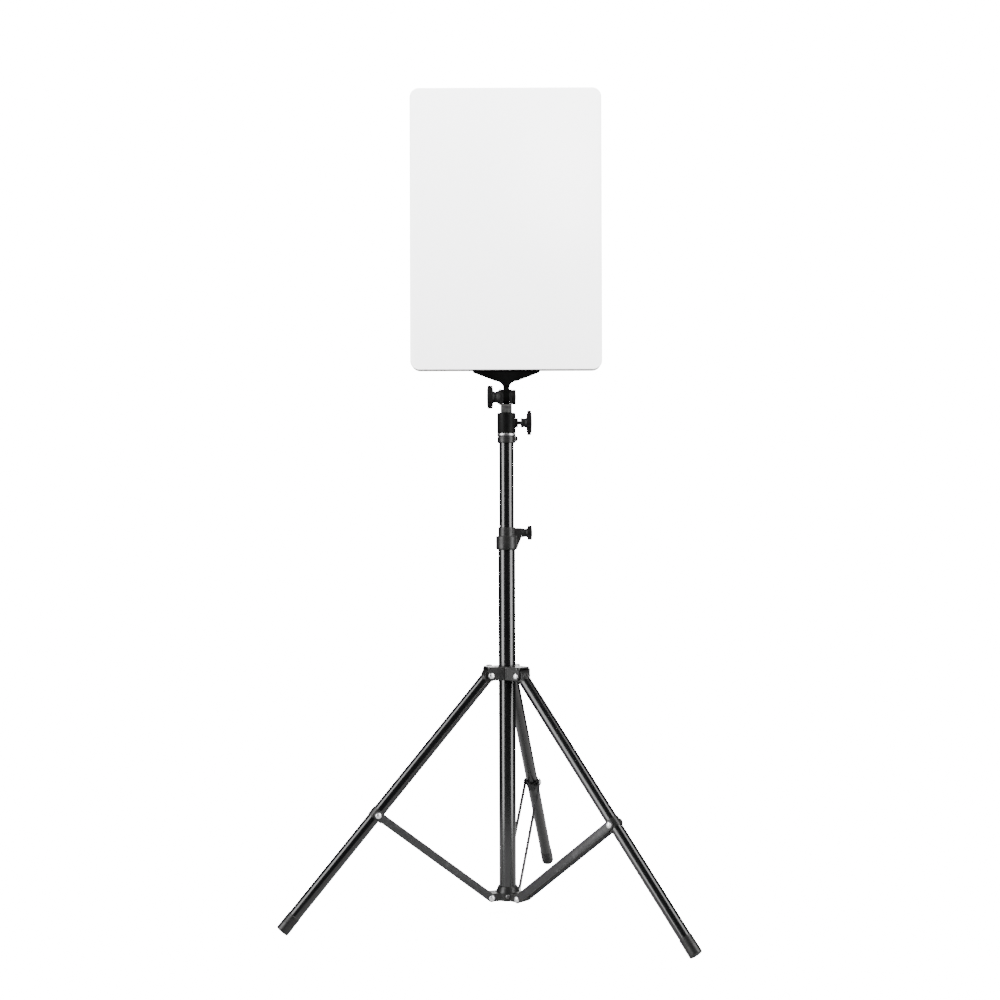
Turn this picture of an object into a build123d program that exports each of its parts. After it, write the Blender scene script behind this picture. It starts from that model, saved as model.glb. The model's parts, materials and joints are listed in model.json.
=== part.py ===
from build123d import *
from math import atan2, cos, degrees, hypot, radians, sin
import os

# A portable LED panel light on a folding three-legged stand.
# Millimetres, +Z up. The origin is on the column's axis at the floor, and the light faces -Y.

# ---- Driving sizes: column ----
FLOOR_TO_COLUMN = 22.0        # underside of the outer tube above the floor
OUTER_TUBE_R = 11.0
OUTER_TUBE_WALL = 1.0
OUTER_TUBE_TOP = 490.0
MIDDLE_TUBE_R = 9.5
MIDDLE_TUBE_WALL = 0.9
MIDDLE_TUBE_LENGTH = 446.0
TOP_TUBE_R = 8.0
TOP_TUBE_WALL = 0.8
TOP_TUBE_LENGTH = 392.0
TOP_TUBE_END = 622.0          # where the spigot's flange sits with the stand set up
TUBE_SLIDE_GAP = 0.15         # radial clearance of collars and bushes on a moving tube
BUSH_LENGTH = 20.0

# ---- Driving sizes: locks ----
MID_COLLAR_WALL = 3.0
MID_COLLAR_NECK = 13.4        # how far the collar's neck stands above the outer tube
MID_COLLAR_BELOW_TUBE_TOP = 16.0
LOCK_SCREW_BELOW_NECK = 7.4
TOP_COLLAR_WALL = 2.2
TOP_COLLAR_LENGTH = 9.0
TOP_LOCK_AZIMUTH = 52.0
TOP_SCREW_R = 1.5
TOP_LOCK_HEAD_R = 4.0
LOCK_SCREW_R = 2.5
SCREW_GAP = 0.1               # radial clearance of a screw in its hole
SCREW_TIP_GAP = 0.35          # a slackened screw stands this far off what it clamps

# ---- Driving sizes: legs and fold ----
LEG_AZIMUTHS = {"left": -161.64, "right": -41.64, "rear": 78.36}
LEG_R = 8.0
LEG_WALL = 0.9
LEG_TILT = 41.27              # from the vertical, with the stand open
LEG_PIVOT_RADIUS = 25.0
LEG_PIVOT_Z = 312.3
BRACE_ON_LEG = 226.6          # leg pivot to brace pivot, along the leg
HUB_PIVOT_RADIUS = 25.0
HUB_PIVOT_ABOVE_COLUMN = 4.2
HUB_WALL = 4.4                # boss round the foot of the outer tube
HUB_SCREW_R = 1.6
HUB_SCREW_HEAD_R = 3.2
TONGUE_R = 5.3
BAR_HEIGHT = 10.6
BAR_THICK = 1.6
CLIP_WALL = 0.9
CLIP_LENGTH = 12.0
BAR_CLEARANCE = 0.3           # between a bar and the clip on the leg
TONGUE_CLEARANCE = 0.4        # between a bar and the hub's tongue
RIVET_R = 2.0
RIVET_HEAD_R = 3.8
RIVET_HEAD_HEIGHT = 2.0
LEG_TO_COLLAR = 0.6           # from a leg's eye to the collar's lugs and plate
LUG_THICK = 3.4
LUG_CORNER_R = 4.6
COLLAR_PLATE = 2.6
COLLAR_PLATE_R = 29.5
COLLAR_SLEEVE_WALL = 3.25
COLLAR_BELOW_PIVOT = 6.3
LEG_LOCK_ABOVE_FOOT = 7.0     # the collar's clamp screw above the collar's lower edge
KNUCKLE_LENGTH = 9.5
KNUCKLE_PLUG = 20.0
FOOT_WALL = 0.6
FOOT_EDGE_R = 1.6
FOOT_WEAR = 0.5               # how much of the edge is worn to a flat on the floor
FOOT_DEPTH = 24.0

# ---- Driving sizes: head ----
SOCKET_R = 12.0
SPIGOT_FLANGE = 3.6           # from the top tube's end to the underside of the socket
SOCKET_HEIGHT = 26.4
SPIGOT_R = 7.9
SPIGOT_LENGTH = 21.0
CLAMP_ABOVE_SOCKET_FOOT = 13.4
TILT_ABOVE_SOCKET = 20.5
STEM_THICK = 8.0
STEM_WIDTH = 19.0
FORK_ARM = 3.0
FORK_GAP = 0.35               # between the stem and each fork arm
TILT_BOLT_R = 3.0
FORK_WIDTH = 20.0
FORK_SCREW_R = 3.0
TILT_NUT_R = 9.6
TILT_NUT_THICK = 5.0
KNOB_BAR = 30.0

# ---- Driving sizes: light ----
PANEL_WIDTH = 248.0
PANEL_HEIGHT = 365.0
PANEL_DEPTH = 25.0
PANEL_ABOVE_TILT = 34.5
PANEL_FRONT_Y = -14.0
PANEL_CORNER_R = 12.0
SHELL_WALL = 2.2
DIFFUSER_THICK = 2.5
FOOT_TOP_HALF = 43.5
FOOT_HALF_DEPTH = 11.0
FOOT_SCREW_X = 30.0
FOOT_SCREW_R = 2.0
BOARD_SCREW_R = 1.5
BOARD_BEHIND_DIFFUSER = 9.0
BOARD_THICK = 1.6
LED_COLUMNS = 9
LED_ROWS = 14


# ---- Sizes that follow ----
HUB_PIVOT_Z = FLOOR_TO_COLUMN + HUB_PIVOT_ABOVE_COLUMN
HUB_BOSS_R = OUTER_TUBE_R + HUB_WALL
COLUMN_FOOT = FLOOR_TO_COLUMN + 5.0
MID_COLLAR_R = OUTER_TUBE_R + MID_COLLAR_WALL
MID_COLLAR_TOP = OUTER_TUBE_TOP + MID_COLLAR_NECK
MID_SCREW_Z = MID_COLLAR_TOP - LOCK_SCREW_BELOW_NECK
TOP_COLLAR_R = MIDDLE_TUBE_R + TOP_COLLAR_WALL
FOOT_R = LEG_R + FOOT_WALL
LUG_INNER = LEG_R + LEG_TO_COLLAR
LUG_OUTER = LUG_INNER + LUG_THICK
BAR_GAP = LEG_R + CLIP_WALL + BAR_CLEARANCE     # from the brace's middle plane to a bar's inner face
COLLAR_TOP = LEG_PIVOT_Z + LEG_R + LEG_TO_COLLAR + COLLAR_PLATE
COLLAR_BOTTOM = LEG_PIVOT_Z - COLLAR_BELOW_PIVOT
COLLAR_SLEEVE_R = OUTER_TUBE_R + TUBE_SLIDE_GAP + COLLAR_SLEEVE_WALL
LEG_LOCK_Z = COLLAR_BOTTOM + LEG_LOCK_ABOVE_FOOT
SOCKET_BOTTOM = TOP_TUBE_END + SPIGOT_FLANGE
SOCKET_TOP = SOCKET_BOTTOM + SOCKET_HEIGHT
CLAMP_Z = SOCKET_BOTTOM + CLAMP_ABOVE_SOCKET_FOOT
TILT_Z = SOCKET_TOP + TILT_ABOVE_SOCKET
PANEL_BOTTOM = TILT_Z + PANEL_ABOVE_TILT


def fold():
    """Collar travel and brace angles between the open stand and the folded one."""
    tilt = radians(LEG_TILT)
    run = LEG_PIVOT_RADIUS + BRACE_ON_LEG * sin(tilt) - HUB_PIVOT_RADIUS
    rise = LEG_PIVOT_Z - BRACE_ON_LEG * cos(tilt) - HUB_PIVOT_Z
    brace = hypot(run, rise)
    travel = brace + BRACE_ON_LEG + HUB_PIVOT_Z - LEG_PIVOT_Z
    return {"brace": brace, "rise_deg": degrees(atan2(rise, run)), "travel": travel}


def leg_length():
    """Pivot to the end of the foot, so that the foot's worn edge lies on the floor."""
    tilt = radians(LEG_TILT)
    corner = (FOOT_R - FOOT_EDGE_R) * sin(tilt) + FOOT_EDGE_R - FOOT_EDGE_R * cos(tilt)
    return (LEG_PIVOT_Z - corner + FOOT_WEAR) / cos(tilt)


FOLD = fold()
LEG_LENGTH = leg_length()
BRACE_LENGTH = FOLD["brace"]
BRACE_RISE = FOLD["rise_deg"]
FOLD_TRAVEL = FOLD["travel"]
MIDDLE_TUBE_TOP = TOP_TUBE_END - 6.0
MIDDLE_TUBE_FOOT = MIDDLE_TUBE_TOP - MIDDLE_TUBE_LENGTH
TOP_COLLAR_TOP = TOP_TUBE_END - 0.3
FORK_INSIDE = STEM_THICK / 2 + FORK_GAP
FORK_OUTSIDE = FORK_INSIDE + FORK_ARM
PANEL_TOP = PANEL_BOTTOM + PANEL_HEIGHT
PANEL_MID_Z = PANEL_BOTTOM + PANEL_HEIGHT / 2
PANEL_BACK_Y = PANEL_FRONT_Y + PANEL_DEPTH
INSIDE_BACK_Y = PANEL_BACK_Y - SHELL_WALL


# ---- Helpers ----
def rod(radius, low, high, x=0.0, y=0.0):
    """A solid upright cylinder between two heights."""
    return Pos(x, y, (low + high) / 2) * Cylinder(radius, high - low)


def ring(outer, inner, low, high):
    """An upright tube between two heights."""
    return rod(outer, low, high) - rod(inner, low - 1, high + 1)


def block(x0, x1, y0, y1, z0, z1):
    """A box between two corners."""
    centre = Pos((x0 + x1) / 2, (y0 + y1) / 2, (z0 + z1) / 2)
    return centre * Box(x1 - x0, y1 - y0, z1 - z0)


def along(axis, start, length, radius):
    """A cylinder that starts at a point and runs along a direction."""
    return Plane(origin=start, z_dir=axis).location * Pos(0, 0, length / 2) * Cylinder(radius, length)


def around(solid, azimuth):
    """A solid made in the +X half plane, turned to an azimuth about the column."""
    return Rot(0, 0, azimuth) * solid


def tilted(solid):
    """A solid made along -Z from the leg's pivot, placed as the leg stands in the +X half plane."""
    return Pos(LEG_PIVOT_RADIUS, 0, LEG_PIVOT_Z) * Rot(0, -LEG_TILT, 0) * solid


def across(radius, low, high, x, z):
    """A cylinder along Y between two sideways places."""
    return Pos(x, (low + high) / 2, z) * Rot(90, 0, 0) * Cylinder(radius, high - low)


def dome(radius, height, at, direction):
    """A low rivet head that stands on a plane."""
    sphere_r = (radius ** 2 + height ** 2) / (2 * height)
    ball = Pos(0, 0, height - sphere_r) * Sphere(sphere_r)
    cap = ball & (Pos(0, 0, height / 2) * Cylinder(radius + 1, height))
    return Plane(origin=at, z_dir=direction).location * cap


def t_knob(bar, bar_width, bar_depth, hub_r, hub_length, waist_r):
    """A moulded tee knob along +Z: a waisted hub, then a bar along X with rounded ends."""
    waist = Pos(0, 0, hub_length / 2) * Cylinder(waist_r, hub_length)
    base = Pos(0, 0, hub_length * 0.2) * Cone(hub_r, waist_r, hub_length * 0.4)
    neck = Pos(0, 0, hub_length * 0.8) * Cone(waist_r, hub_r * 0.92, hub_length * 0.4)
    wings = Pos(0, 0, hub_length) * extrude(SlotOverall(bar, bar_width), bar_depth)
    wings = fillet(wings.edges().filter_by(GeomType.LINE), 0.8)
    return waist + base + neck + wings


# ---- Column ----
def outer_tube():
    return ring(OUTER_TUBE_R, OUTER_TUBE_R - OUTER_TUBE_WALL, COLUMN_FOOT, OUTER_TUBE_TOP)


def hub_bore():
    return rod(OUTER_TUBE_R, COLUMN_FOOT, HUB_PIVOT_Z + 40)


def spreader_hub():
    """Boss round the foot of the column, with a tongue and a fin for each brace."""
    tongue_low = HUB_PIVOT_Z - TONGUE_R
    tongue_high = HUB_PIVOT_Z + TONGUE_R
    cone = 7.2
    hub = rod(HUB_BOSS_R, tongue_low, tongue_high)
    hub += Pos(0, 0, tongue_high + cone / 2) * Cone(HUB_BOSS_R, HUB_BOSS_R - 3, cone)
    reach = BAR_GAP - TONGUE_CLEARANCE
    for azimuth in LEG_AZIMUTHS.values():
        tongue = block(8, HUB_PIVOT_RADIUS, -reach, reach, tongue_low, tongue_high)
        tongue += across(TONGUE_R, -reach, reach, HUB_PIVOT_RADIUS, HUB_PIVOT_Z)
        hole = across(RIVET_R + SCREW_GAP, -20, 20, HUB_PIVOT_RADIUS, HUB_PIVOT_Z)
        hub += around(tongue, azimuth)
        hub -= around(hole, azimuth)
    hub -= hub_bore()
    hub -= along((0, -1, 0), (0, -hub_screw_seat(), hub_screw_z()), 5, HUB_SCREW_HEAD_R + 0.2)
    return hub - along((0, -1, 0), (0, -8, hub_screw_z()), 20, HUB_SCREW_R)


def hub_screw_z():
    return HUB_PIVOT_Z + 1


def hub_screw_seat():
    """How far the hub screw's spot face is from the axis."""
    return HUB_BOSS_R - 0.4


def hub_screw():
    """Grub and pan head that hold the hub to the outer tube."""
    z = hub_screw_z()
    start = OUTER_TUBE_R + SCREW_GAP
    shank = along((0, -1, 0), (0, -start, z), hub_screw_seat() + 1.1 - start, HUB_SCREW_R)
    return shank + dome(HUB_SCREW_HEAD_R, 1.8, (0, -hub_screw_seat(), z), (0, -1, 0))


def column_end_plug():
    """Moulded plug that closes the outer tube's lower end, above the hub's floor."""
    low = COLUMN_FOOT
    plug = rod(OUTER_TUBE_R - OUTER_TUBE_WALL, low, low + 10)
    return plug - rod(6.5, low + 2.5, low + 11)


def mid_lock_collar():
    """Collar clamped on the outer tube, with a reduced neck that guides the middle tube."""
    low = OUTER_TUBE_TOP - MID_COLLAR_BELOW_TUBE_TOP
    collar = rod(MID_COLLAR_R, low + 1.6, OUTER_TUBE_TOP + 1.8)
    collar += Pos(0, 0, low + 0.8) * Cone(OUTER_TUBE_R + 0.7, MID_COLLAR_R, 1.6)
    collar += rod(MIDDLE_TUBE_R + 1.4, OUTER_TUBE_TOP + 1.8, MID_COLLAR_TOP)
    screw_z = MID_SCREW_Z
    out = OUTER_TUBE_R + 8.6
    with BuildPart() as boss:
        with BuildSketch(Plane.XZ):
            with BuildLine():
                Polyline((8, low + 2), (out - 6, low + 2), (out, screw_z - 5), (out, screw_z + 6.4),
                         (8, screw_z + 6.4), close=True)
            make_face()
        extrude(amount=5.6, both=True)
    collar += boss.part
    collar -= rod(OUTER_TUBE_R, low - 1, OUTER_TUBE_TOP)
    collar -= rod(MIDDLE_TUBE_R + TUBE_SLIDE_GAP, OUTER_TUBE_TOP - 1, MID_COLLAR_TOP + 1)
    return collar - along((1, 0, 0), (5, 0, screw_z), 30, LOCK_SCREW_R + SCREW_GAP)


def mid_lock_screw():
    start = MIDDLE_TUBE_R + SCREW_TIP_GAP
    return along((1, 0, 0), (start, 0, MID_SCREW_Z), OUTER_TUBE_R + 16 - start, LOCK_SCREW_R)


def mid_lock_knob():
    """Compact tee knob on the middle lock."""
    knob = t_knob(21.0, 7.0, 6.0, 5.2, 7.0, 4.0)
    knob -= Pos(0, 0, 3.2) * Cylinder(LOCK_SCREW_R, 7.4)
    place = Plane(origin=(OUTER_TUBE_R + 9.1, 0, MID_SCREW_Z), x_dir=(0, 0.5, 0.86), z_dir=(1, 0, 0))
    return place.location * knob


# ---- Leg collar ----
def leg_collar():
    """Sliding collar: a sleeve, a three-pointed plate and a pair of lugs for each leg."""
    plate_low = COLLAR_TOP - COLLAR_PLATE
    collar = rod(COLLAR_SLEEVE_R, COLLAR_BOTTOM, COLLAR_TOP)
    for azimuth in LEG_AZIMUTHS.values():
        plate = block(0, COLLAR_PLATE_R - 4, -LUG_OUTER, LUG_OUTER, plate_low, COLLAR_TOP)
        plate += block(20, COLLAR_PLATE_R, -LUG_OUTER + 4, LUG_OUTER - 4, plate_low, COLLAR_TOP)
        for side in (-1, 1):
            plate += rod(4.0, plate_low, COLLAR_TOP, COLLAR_PLATE_R - 4, side * (LUG_OUTER - 4))
            near, far = sorted((side * LUG_INNER, side * LUG_OUTER))
            lug = block(9, COLLAR_PLATE_R - 4, near, far, COLLAR_BOTTOM, plate_low + 1)
            corner = (COLLAR_PLATE_R - LUG_CORNER_R, COLLAR_BOTTOM + LUG_CORNER_R)
            lug += across(LUG_CORNER_R, near, far, *corner)
            lug += block(20, COLLAR_PLATE_R, near, far, corner[1], plate_low)
            plate += lug
        hole = across(RIVET_R, -20, 20, LEG_PIVOT_RADIUS, LEG_PIVOT_Z)
        collar += around(plate, azimuth)
        collar -= around(hole, azimuth)
    collar -= rod(OUTER_TUBE_R + TUBE_SLIDE_GAP, COLLAR_BOTTOM - 1, COLLAR_TOP + 1)
    return collar - leg_lock_axis(5, 30, LOCK_SCREW_R + SCREW_GAP)


def leg_collar_rivets():
    rivets = []
    for azimuth in LEG_AZIMUTHS.values():
        rivet = across(RIVET_R, -LUG_OUTER, LUG_OUTER, LEG_PIVOT_RADIUS, LEG_PIVOT_Z)
        for side in (-1, 1):
            at = (LEG_PIVOT_RADIUS, side * LUG_OUTER, LEG_PIVOT_Z)
            rivet += dome(RIVET_HEAD_R, RIVET_HEAD_HEIGHT, at, (0, side, 0))
        rivets.append(around(rivet, azimuth))
    return rivets


def leg_lock_axis(start, length, radius):
    """A cylinder along the leg lock's screw, half way between the left leg and the rear leg."""
    return around(along((1, 0, 0), (start, 0, LEG_LOCK_Z), length, radius), leg_lock_azimuth())


def leg_lock_azimuth():
    return (LEG_AZIMUTHS["left"] + 360 + LEG_AZIMUTHS["rear"]) / 2


def leg_lock_screw():
    start = OUTER_TUBE_R + SCREW_TIP_GAP
    return leg_lock_axis(start, OUTER_TUBE_R + 17 - start, LOCK_SCREW_R)


def leg_lock_knob():
    """Tee knob that clamps the leg collar on the column."""
    knob = t_knob(24.0, 7.0, 6.5, 5.2, 9.0, 4.2)
    knob -= Pos(0, 0, 4) * Cylinder(LOCK_SCREW_R, 8.8)
    place = Plane(origin=(OUTER_TUBE_R + 8.6, 0, LEG_LOCK_Z), x_dir=(0, 0, 1), z_dir=(1, 0, 0))
    return around(place.location * knob, leg_lock_azimuth())


# ---- Legs ----
def leg_tube(azimuth):
    end = LEG_LENGTH - 4
    middle = Pos(0, 0, -(KNUCKLE_LENGTH + end) / 2)
    tube = middle * Cylinder(LEG_R, end - KNUCKLE_LENGTH)
    tube -= middle * Cylinder(LEG_R - LEG_WALL, end)
    return around(tilted(tube), azimuth)


def leg_knuckle(azimuth):
    """Hinge eye at the head of a leg, with a plug that fills the end of the tube."""
    width = 2 * LUG_INNER - 0.8
    eye = Rot(90, 0, 0) * Cylinder(LEG_R - 0.1, width)
    neck = Pos(0, 0, -KNUCKLE_LENGTH / 2) * Cylinder(LEG_R, KNUCKLE_LENGTH)
    neck = neck & Box(40, width, 40)
    plug = Pos(0, 0, -KNUCKLE_LENGTH + 0.5 - KNUCKLE_PLUG / 2) * Cylinder(LEG_R - LEG_WALL, KNUCKLE_PLUG)
    hole = Rot(90, 0, 0) * Cylinder(RIVET_R + SCREW_GAP, 40)
    return around(tilted(eye + neck + plug - hole), azimuth)


def leg_foot(azimuth):
    """Rubber cap on the end of a leg, worn flat where it meets the floor."""
    cap = Pos(0, 0, -LEG_LENGTH + FOOT_DEPTH / 2) * Cylinder(FOOT_R, FOOT_DEPTH)
    cap = fillet(cap.edges().sort_by(Axis.Z)[0], FOOT_EDGE_R)
    cap = chamfer(cap.edges().sort_by(Axis.Z)[-1], 0.4)
    cap -= Pos(0, 0, -LEG_LENGTH + 4 + FOOT_DEPTH / 2) * Cylinder(LEG_R, FOOT_DEPTH)
    cap = tilted(cap) - block(0, 500, -50, 50, -50, 0)
    return around(cap, azimuth)


def leg_clip(azimuth):
    """Band round a leg that carries the pin of its brace."""
    place = Pos(0, 0, -BRACE_ON_LEG)
    clip = place * Cylinder(LEG_R + CLIP_WALL, CLIP_LENGTH)
    clip += place * Pos(-LEG_R - 1.2, 0, 0) * Box(3.4, 9, CLIP_LENGTH)
    clip -= place * Cylinder(LEG_R, CLIP_LENGTH + 2)
    return around(tilted(clip), azimuth)


# ---- Braces ----
def brace_bars(azimuth):
    """The two flat bars of a brace, which straddle the hub's tongue and the leg."""
    bars = []
    for side in (-1, 1):
        bar = Pos(BRACE_LENGTH / 2, 0, 0) * SlotCenterToCenter(BRACE_LENGTH, BAR_HEIGHT)
        for x in (0, BRACE_LENGTH):
            bar -= Pos(x, 0, 0) * Circle(RIVET_R)
        solid = Rot(90, 0, 0) * extrude(bar, BAR_THICK / 2, both=True)
        solid = Pos(0, side * (BAR_GAP + BAR_THICK / 2), 0) * solid
        solid = Pos(HUB_PIVOT_RADIUS, 0, HUB_PIVOT_Z) * Rot(0, -BRACE_RISE, 0) * solid
        bars.append(around(solid, azimuth))
    return bars


def brace_rivets(azimuth):
    """The long rivet at the hub and a short one through each bar at the leg's clip."""
    outside = BAR_GAP + BAR_THICK
    leg_x = HUB_PIVOT_RADIUS + BRACE_LENGTH * cos(radians(BRACE_RISE))
    leg_z = HUB_PIVOT_Z + BRACE_LENGTH * sin(radians(BRACE_RISE))
    hub_rivet = across(RIVET_R, -outside, outside, HUB_PIVOT_RADIUS, HUB_PIVOT_Z)
    rivets = []
    for side in (-1, 1):
        at = (HUB_PIVOT_RADIUS, side * outside, HUB_PIVOT_Z)
        hub_rivet += dome(RIVET_HEAD_R, RIVET_HEAD_HEIGHT, at, (0, side, 0))
        near, far = sorted((side * BAR_GAP, side * outside))
        stub = across(RIVET_R, near, far, leg_x, leg_z)
        stub += dome(RIVET_HEAD_R, RIVET_HEAD_HEIGHT, (leg_x, side * outside, leg_z), (0, side, 0))
        rivets.append(around(stub, azimuth))
    rivets.append(around(hub_rivet, azimuth))
    return rivets


# ---- Risers ----
def middle_tube():
    return ring(MIDDLE_TUBE_R, MIDDLE_TUBE_R - MIDDLE_TUBE_WALL, MIDDLE_TUBE_FOOT, MIDDLE_TUBE_TOP)


def guide_bush(tube_r, outer_bore_r, tube_foot):
    """Plastic sleeve under a tube's lower end that runs in the next tube out."""
    outer = outer_bore_r - TUBE_SLIDE_GAP
    bush = ring(outer, tube_r - 2.6, tube_foot - BUSH_LENGTH, tube_foot)
    return bush


def middle_guide_bush():
    return guide_bush(MIDDLE_TUBE_R, OUTER_TUBE_R - OUTER_TUBE_WALL, MIDDLE_TUBE_FOOT)


def top_lock_collar():
    """Short collar pressed on the middle tube's end, which guides and clamps the top tube."""
    low = TOP_COLLAR_TOP - TOP_COLLAR_LENGTH
    collar = rod(TOP_COLLAR_R, low, TOP_COLLAR_TOP)
    collar = chamfer(collar.edges().filter_by(GeomType.CIRCLE), 0.6)
    collar += top_lock_axis(6, 8.5, TOP_SCREW_R + 1.1)
    collar -= rod(MIDDLE_TUBE_R, low - 1, MIDDLE_TUBE_TOP)
    collar -= rod(TOP_TUBE_R + TUBE_SLIDE_GAP, MIDDLE_TUBE_TOP - 1, TOP_COLLAR_TOP + 1)
    return collar - top_lock_axis(4, 20, TOP_SCREW_R + SCREW_GAP)


def top_screw_z():
    return (MIDDLE_TUBE_TOP + TOP_COLLAR_TOP) / 2 + 0.1


def top_lock_axis(start, length, radius):
    """A cylinder along the thumb screw that clamps the top tube."""
    return around(along((1, 0, 0), (start, 0, top_screw_z()), length, radius), TOP_LOCK_AZIMUTH)


def top_lock_knob():
    """Small thumb screw with a round scalloped head."""
    start = TOP_TUBE_R + SCREW_TIP_GAP
    head_start = TOP_COLLAR_R + 3.1
    head = Cylinder(TOP_LOCK_HEAD_R, 5.6)
    head = fillet(head.edges().sort_by(Axis.Z)[-1], 1.4)
    for turn in range(6):
        head -= Rot(0, 0, turn * 60) * Pos(TOP_LOCK_HEAD_R + 0.6, 0, 0) * Cylinder(1.2, 8)
    place = Plane(origin=(head_start + 2.8, 0, top_screw_z()), x_dir=(0, 0, 1), z_dir=(1, 0, 0))
    head = around(place.location * head, TOP_LOCK_AZIMUTH)
    return head + top_lock_axis(start, head_start + 1 - start, TOP_SCREW_R)


def top_tube():
    return ring(TOP_TUBE_R, TOP_TUBE_R - TOP_TUBE_WALL, TOP_TUBE_END - TOP_TUBE_LENGTH, TOP_TUBE_END)


def top_guide_bush():
    foot = TOP_TUBE_END - TOP_TUBE_LENGTH
    return guide_bush(TOP_TUBE_R, MIDDLE_TUBE_R - MIDDLE_TUBE_WALL, foot)


def spigot():
    """Turned stud on the top tube: a plug, a bright flange and the stem that carries the head."""
    plug = rod(TOP_TUBE_R - TOP_TUBE_WALL, TOP_TUBE_END - 18, TOP_TUBE_END)
    flange = rod(SOCKET_R, TOP_TUBE_END, SOCKET_BOTTOM - 0.2)
    flange = chamfer(flange.edges().filter_by(GeomType.CIRCLE), 0.4)
    stem = rod(SPIGOT_R, SOCKET_BOTTOM - 0.2, SOCKET_BOTTOM + SPIGOT_LENGTH)
    stem = chamfer(stem.edges().sort_by(Axis.Z)[-1], 1.0)
    groove = Pos(0, 0, CLAMP_Z) * (Cylinder(SPIGOT_R + 1, 6) - Cylinder(SPIGOT_R - 0.8, 8))
    return plug + flange + stem - groove


# ---- Head ----
def head_socket():
    """Clamping socket that drops over the spigot."""
    body = rod(SOCKET_R, SOCKET_BOTTOM, SOCKET_TOP)
    body = fillet(body.edges().sort_by(Axis.Z)[-1], 1.2)
    body += along((1, 0, 0), (8, 0, CLAMP_Z), 7.2, 6.0)
    body -= rod(SPIGOT_R + TUBE_SLIDE_GAP, SOCKET_BOTTOM - 1, SOCKET_BOTTOM + SPIGOT_LENGTH + 0.6)
    return body - along((1, 0, 0), (5, 0, CLAMP_Z), 20, LOCK_SCREW_R + SCREW_GAP)


def tilt_fork():
    """Fork bolted on the socket: a base and two round-ended arms."""
    half = FORK_WIDTH / 2
    base_top = fork_base_top()
    fork = block(-FORK_OUTSIDE, FORK_OUTSIDE, -half, half, SOCKET_TOP, base_top)
    for side in (-1, 1):
        near, far = sorted((side * FORK_INSIDE, side * FORK_OUTSIDE))
        fork += block(near, far, -half, half, SOCKET_TOP, TILT_Z)
        fork += along((side, 0, 0), (side * FORK_INSIDE, 0, TILT_Z), FORK_ARM, half)
    fork -= along((1, 0, 0), (-20, 0, TILT_Z), 40, TILT_BOLT_R + SCREW_GAP)
    return fork - rod(FORK_SCREW_R, SOCKET_TOP - 1, base_top + 1)


def fork_base_top():
    """The fork's floor, just under the round end of the stem."""
    return TILT_Z - STEM_WIDTH / 2 - 0.5


def fork_screw():
    """Screw up the middle of the fork's base."""
    return rod(FORK_SCREW_R, SOCKET_TOP, fork_base_top())


def tilt_nut():
    """Round nut on the fork's right side, locked to the arm."""
    nut = along((1, 0, 0), (FORK_OUTSIDE, 0, TILT_Z), TILT_NUT_THICK, TILT_NUT_R)
    nut = chamfer(nut.edges().filter_by(GeomType.CIRCLE), 0.6)
    return nut - along((1, 0, 0), (0, 0, TILT_Z), 30, TILT_BOLT_R + SCREW_GAP)


def tilt_bolt():
    """Bolt moulded into the tilt knob, through the fork, the stem and the nut."""
    start = -FORK_OUTSIDE - 13.65
    return along((1, 0, 0), (start, 0, TILT_Z), FORK_OUTSIDE + TILT_NUT_THICK + 0.4 - start, TILT_BOLT_R)


def tilt_knob():
    knob = t_knob(KNOB_BAR, 8.0, 8.2, 11.0, 9.6, 5.8)
    knob -= Pos(0, 0, 6.4) * Cylinder(TILT_BOLT_R, 14.2)
    place = Plane(origin=(-FORK_OUTSIDE - 0.5, 0, TILT_Z), x_dir=(0, 0, 1), z_dir=(-1, 0, 0))
    return place.location * knob


def clamp_screw():
    start = SPIGOT_R + SCREW_TIP_GAP
    return along((1, 0, 0), (start, 0, CLAMP_Z), 30.0 - start, LOCK_SCREW_R)


def clamp_knob():
    knob = t_knob(KNOB_BAR + 2, 8.0, 7.5, 6.4, 7.2, 5.4)
    knob -= Pos(0, 0, 5.4) * Cylinder(LOCK_SCREW_R, 11.8)
    place = Plane(origin=(18.7, 0, CLAMP_Z), x_dir=(0, 0, 1), z_dir=(1, 0, 0))
    return place.location * knob


# ---- Light ----
def panel_outline(inset):
    return RectangleRounded(PANEL_WIDTH - 2 * inset, PANEL_HEIGHT - 2 * inset, PANEL_CORNER_R - inset)


def slab(outline, front, back):
    """An upright plate of a given outline, centred on the panel, between two depths."""
    plate = extrude(outline, back - front)
    turned = Plane(origin=(0, front, PANEL_MID_Z), x_dir=(-1, 0, 0), z_dir=(0, 1, 0))
    return turned.location * plate


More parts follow.
